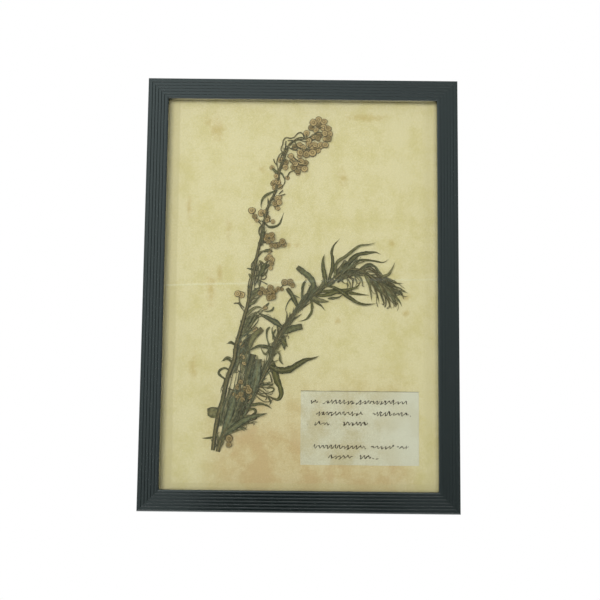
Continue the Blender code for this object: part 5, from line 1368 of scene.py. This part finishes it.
rails = moulding_tree()
stained, bare = black_stain(), bare_wood()
outline = [(inset, depth, 0.0) for inset, depth in moulding_section()]
for name, turn, length, reach in (("rail_top", 0.0, FRAME_WIDTH, FRAME_HEIGHT),
                                  ("rail_right", math.pi / 2, FRAME_HEIGHT, FRAME_WIDTH),
                                  ("rail_bottom", math.pi, FRAME_WIDTH, FRAME_HEIGHT),
                                  ("rail_left", -math.pi / 2, FRAME_HEIGHT, FRAME_WIDTH)):
    host = bpy.data.meshes.new(name)
    host.from_pydata(outline, [(i, (i + 1) % len(outline)) for i in range(len(outline))], [])
    mesh = made_by_nodes(rails, host,
                         {"Length": length, "Reach": reach, "Turn": turn, "Mitre Gap": MITRE_GAP,
                          "Middle": (0, 0, MIDDLE_Z), "Back Depth": -0.45 * MM,
                          "Stained": stained, "Bare": bare})
    mesh.shade_smooth()
    mesh.set_sharp_from_angle(angle=math.radians(50))
    add_piece(mesh, [name])

# Fixings at the back
# Six flat points of zinc-plated steel, driven into the rebate, hold the board
# in. A stamped saw-tooth hanger of the same steel is riveted to the board, and
# the nail in the wall sits in its middle notch.


def zinc_steel():
    """Zinc-plated mild steel: grey, faintly spangled, dull where it has been handled."""
    material, tree, shader = start_material("zinc_steel", 0.4, 1.0)
    place = in_millimetres(tree)
    # Zinc crystals of about 1.4 mm
    spangle = add_node(tree, "ShaderNodeTexVoronoi", {"Vector": place, "Scale": 0.7})
    dull = add_node(tree, "ShaderNodeTexNoise", {"Vector": place, "Scale": 0.4, "Detail": 4.0})
    rough = add_node(tree, "ShaderNodeMapRange",
                     {"Value": dull, "From Min": 0.3, "From Max": 0.7, "To Min": 0.28, "To Max": 0.55})
    set_inputs(shader, {"Base Color": coat(tree, "B9BAB4", "8F918C", spangle.outputs["Distance"]),
                        "Roughness": rough})
    return material


steel = zinc_steel()
for word in ("top", "bottom", "left_upper", "left_lower", "right_upper", "right_lower"):
    add_piece(rounded_copy("point_" + word, 0.12 * MM, 2, steel), ["point_" + word])
add_piece(rounded_copy("hanger", 0.15 * MM, 2, steel), ["hanger"])
for word in ("left", "right"):
    add_piece(rounded_copy("hanger_rivet_" + word, 0.1 * MM, 2, steel), ["hanger_rivet_" + word])

# Stage, light and camera
# A plain pale floor far below the hanging frame, a softbox in front and one
# behind, and a dim room for the glass to reflect. Two dark cards behind the
# camera take the shine off the lower middle, as in a room with furniture.

FLOOR_DEPTH = 0.9
FLOOR_SIZE = 5.0
CAMERA_TURN = 0.065
CAMERA_RISE = -6.055
CAMERA_ROLL = 0.613
CAMERA_DISTANCE = 0.6649
CAMERA_AIM = Vector((-0.00055, -FRAME_DEPTH, MIDDLE_Z - 0.00671))
FOCAL_PIXELS = 916.45
IMAGE_PIXELS = 600
SENSOR_WIDTH = 36.0
CARD_PLANE = -0.9

floor_mesh = bpy.data.meshes.new("floor")
floor_mesh.from_pydata([(x * FLOOR_SIZE / 2, y * FLOOR_SIZE / 2, frame_low.z - FLOOR_DEPTH)
                        for x, y in ((-1, -1), (1, -1), (1, 1), (-1, 1))], [], [(0, 1, 2, 3)])
floor = bpy.data.objects.new("floor", floor_mesh)
bpy.context.scene.collection.objects.link(floor)
floor_paint, _, floor_shader = start_material("pale_floor", 0.9)
set_inputs(floor_shader, {"Base Color": linear("FAFAFA")})
floor_mesh.materials.append(floor_paint)

turn, rise, roll = (math.radians(angle) for angle in (CAMERA_TURN, CAMERA_RISE, CAMERA_ROLL))
back = Vector((math.sin(turn) * math.cos(rise), -math.cos(turn) * math.cos(rise), math.sin(rise)))
right = Vector((0, 0, 1)).cross(back).normalized()
up = back.cross(right)
camera_data = bpy.data.cameras.new("camera")
camera_data.sensor_width = SENSOR_WIDTH
camera_data.lens = SENSOR_WIDTH * FOCAL_PIXELS / IMAGE_PIXELS
camera = bpy.data.objects.new("camera", camera_data)
bpy.context.scene.collection.objects.link(camera)
eye = CAMERA_AIM + back * CAMERA_DISTANCE
rolled_right = right * math.cos(roll) + up * math.sin(roll)
rolled_up = up * math.cos(roll) - right * math.sin(roll)
turned = Matrix((rolled_right, rolled_up, back)).transposed()
camera.matrix_world = Matrix.Translation(eye) @ turned.to_4x4()
bpy.context.scene.camera = camera

# Cards that the glass reflects. An outline is drawn where it shows, on the glass: (x, z) in
# millimetres from the sheet's middle.
DARK_CARDS = [[(-76, -300), (-75, -146), (-66, -142), (-52, -122), (-40, -104), (-14, -104), (12, -120),
               (20, -142), (26, -146), (27, -300)],
              [(44, -300), (43, -146), (30, -142), (16, -112), (14, -88), (40, -82), (58, -96), (58, -122),
               (64, -142), (74, -146), (75, -300)]]
LINE_LEFT, LINE_RIGHT = (-98.0, 5.0), (78.0, 10.9)
LINE_WIDTH = 1.6
LINE_GLOW = 0.8
SIDE_GLOW = 0.3
SOFTBOX_SIZE = (1.2, 0.9)
SOFTBOXES = (("softbox_front", (-0.2, -1.7, -0.08), 28.5), ("softbox_back", (0.5, 1.7, 0.4), 26.0))
glass_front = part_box("glass")[0].y


def stage_card(name, spots, paint):
    """A flat card behind the camera whose mirror image in the glass fills the given outline."""
    corners = []
    for x, z in spots:
        spot = Vector((x * MM, glass_front, MIDDLE_Z + z * MM))
        ray = spot - eye
        corners.append(spot + Vector((ray.x, -ray.y, ray.z)) * (glass_front - CARD_PLANE) / ray.y)
    mesh = bpy.data.meshes.new(name)
    mesh.from_pydata(corners, [], [tuple(range(len(corners)))])
    mesh.materials.append(paint)
    card = bpy.data.objects.new(name, mesh)
    bpy.context.scene.collection.objects.link(card)
    card.visible_camera = False
    return card


card_paint, _, card_shader = start_material("dark_card", 0.9)
set_inputs(card_shader, {"Base Color": linear("2A2A28"), "Specular IOR Level": 0.0})
for number, spots in enumerate(DARK_CARDS):
    dark_card = stage_card(f"dark_card_{number}", spots, card_paint)
    dark_card.visible_diffuse = False

# A thin strip of light, seen in the glass as a pale line across the sheet
line_paint = bpy.data.materials.new("strip_light")
line_paint.use_nodes = True
line_tree = line_paint.node_tree
line_tree.nodes.clear()
glow = add_node(line_tree, "ShaderNodeEmission", {"Color": linear("E4F2F6"), "Strength": LINE_GLOW})
add_node(line_tree, "ShaderNodeOutputMaterial", {"Surface": glow})
strip = stage_card("strip_light", [LINE_LEFT, LINE_RIGHT, (LINE_RIGHT[0], LINE_RIGHT[1] - LINE_WIDTH),
                                   (LINE_LEFT[0], LINE_LEFT[1] - LINE_WIDTH)], line_paint)
strip.visible_diffuse = False
strip.visible_shadow = False

# Softboxes in front and behind, which show in no reflection
for name, spot, power in SOFTBOXES:
    light = bpy.data.lights.new(name, "AREA")
    light.shape = "RECTANGLE"
    light.size, light.size_y = SOFTBOX_SIZE
    light.energy = power
    softbox = bpy.data.objects.new(name, light)
    bpy.context.scene.collection.objects.link(softbox)
    aim = Vector((0, 0, MIDDLE_Z)) - Vector(spot)
    softbox.matrix_world = Matrix.Translation(Vector(spot)) @ aim.to_track_quat("-Z",
                                                                                "Y").to_matrix().to_4x4()
    softbox.visible_glossy = False
    softbox.visible_transmission = False
    softbox.visible_camera = False

# The room that the glass and the wax reflect: brighter above and to the left, and faintly blue
world = bpy.data.worlds.new("studio")
bpy.context.scene.world = world
world.use_nodes = True
sky = world.node_tree
sky.nodes.clear()
direction = add_node(sky, "ShaderNodeTexCoord").outputs["Generated"]
heading = add_node(sky, "ShaderNodeSeparateXYZ", [direction]).outputs
above = add_node(sky, "ShaderNodeMapRange",
                 {"Value": heading[2], "From Min": -0.4, "From Max": 0.6, "To Min": 0.09, "To Max": 0.55})
leftward = add_node(sky, "ShaderNodeMapRange",
                    {"Value": heading[0], "From Min": -0.5, "From Max": 0.5, "To Min": 1.8, "To Max": 0.2})
room = add_node(sky, "ShaderNodeMath", [above, leftward], operation="MULTIPLY")
in_front = add_node(sky, "ShaderNodeMapRange", {"Value": heading[1], "From Min": -0.2, "From Max": -0.8},
                    interpolation_type="SMOOTHSTEP")
room = add_node(sky, "ShaderNodeMix", {0: in_front, 2: SIDE_GLOW, 3: room}, data_type="FLOAT")
studio = add_node(sky, "ShaderNodeBackground", {"Color": linear("E8FBFB"), "Strength": room})
backdrop = add_node(sky, "ShaderNodeBackground", {"Color": (1, 1, 1, 1), "Strength": 1.0})
seen = add_node(sky, "ShaderNodeLightPath").outputs["Is Camera Ray"]
both = add_node(sky, "ShaderNodeMixShader", [seen, studio, backdrop])
add_node(sky, "ShaderNodeOutputWorld", {"Surface": both})
bpy.context.scene.view_settings.view_transform = "Standard"
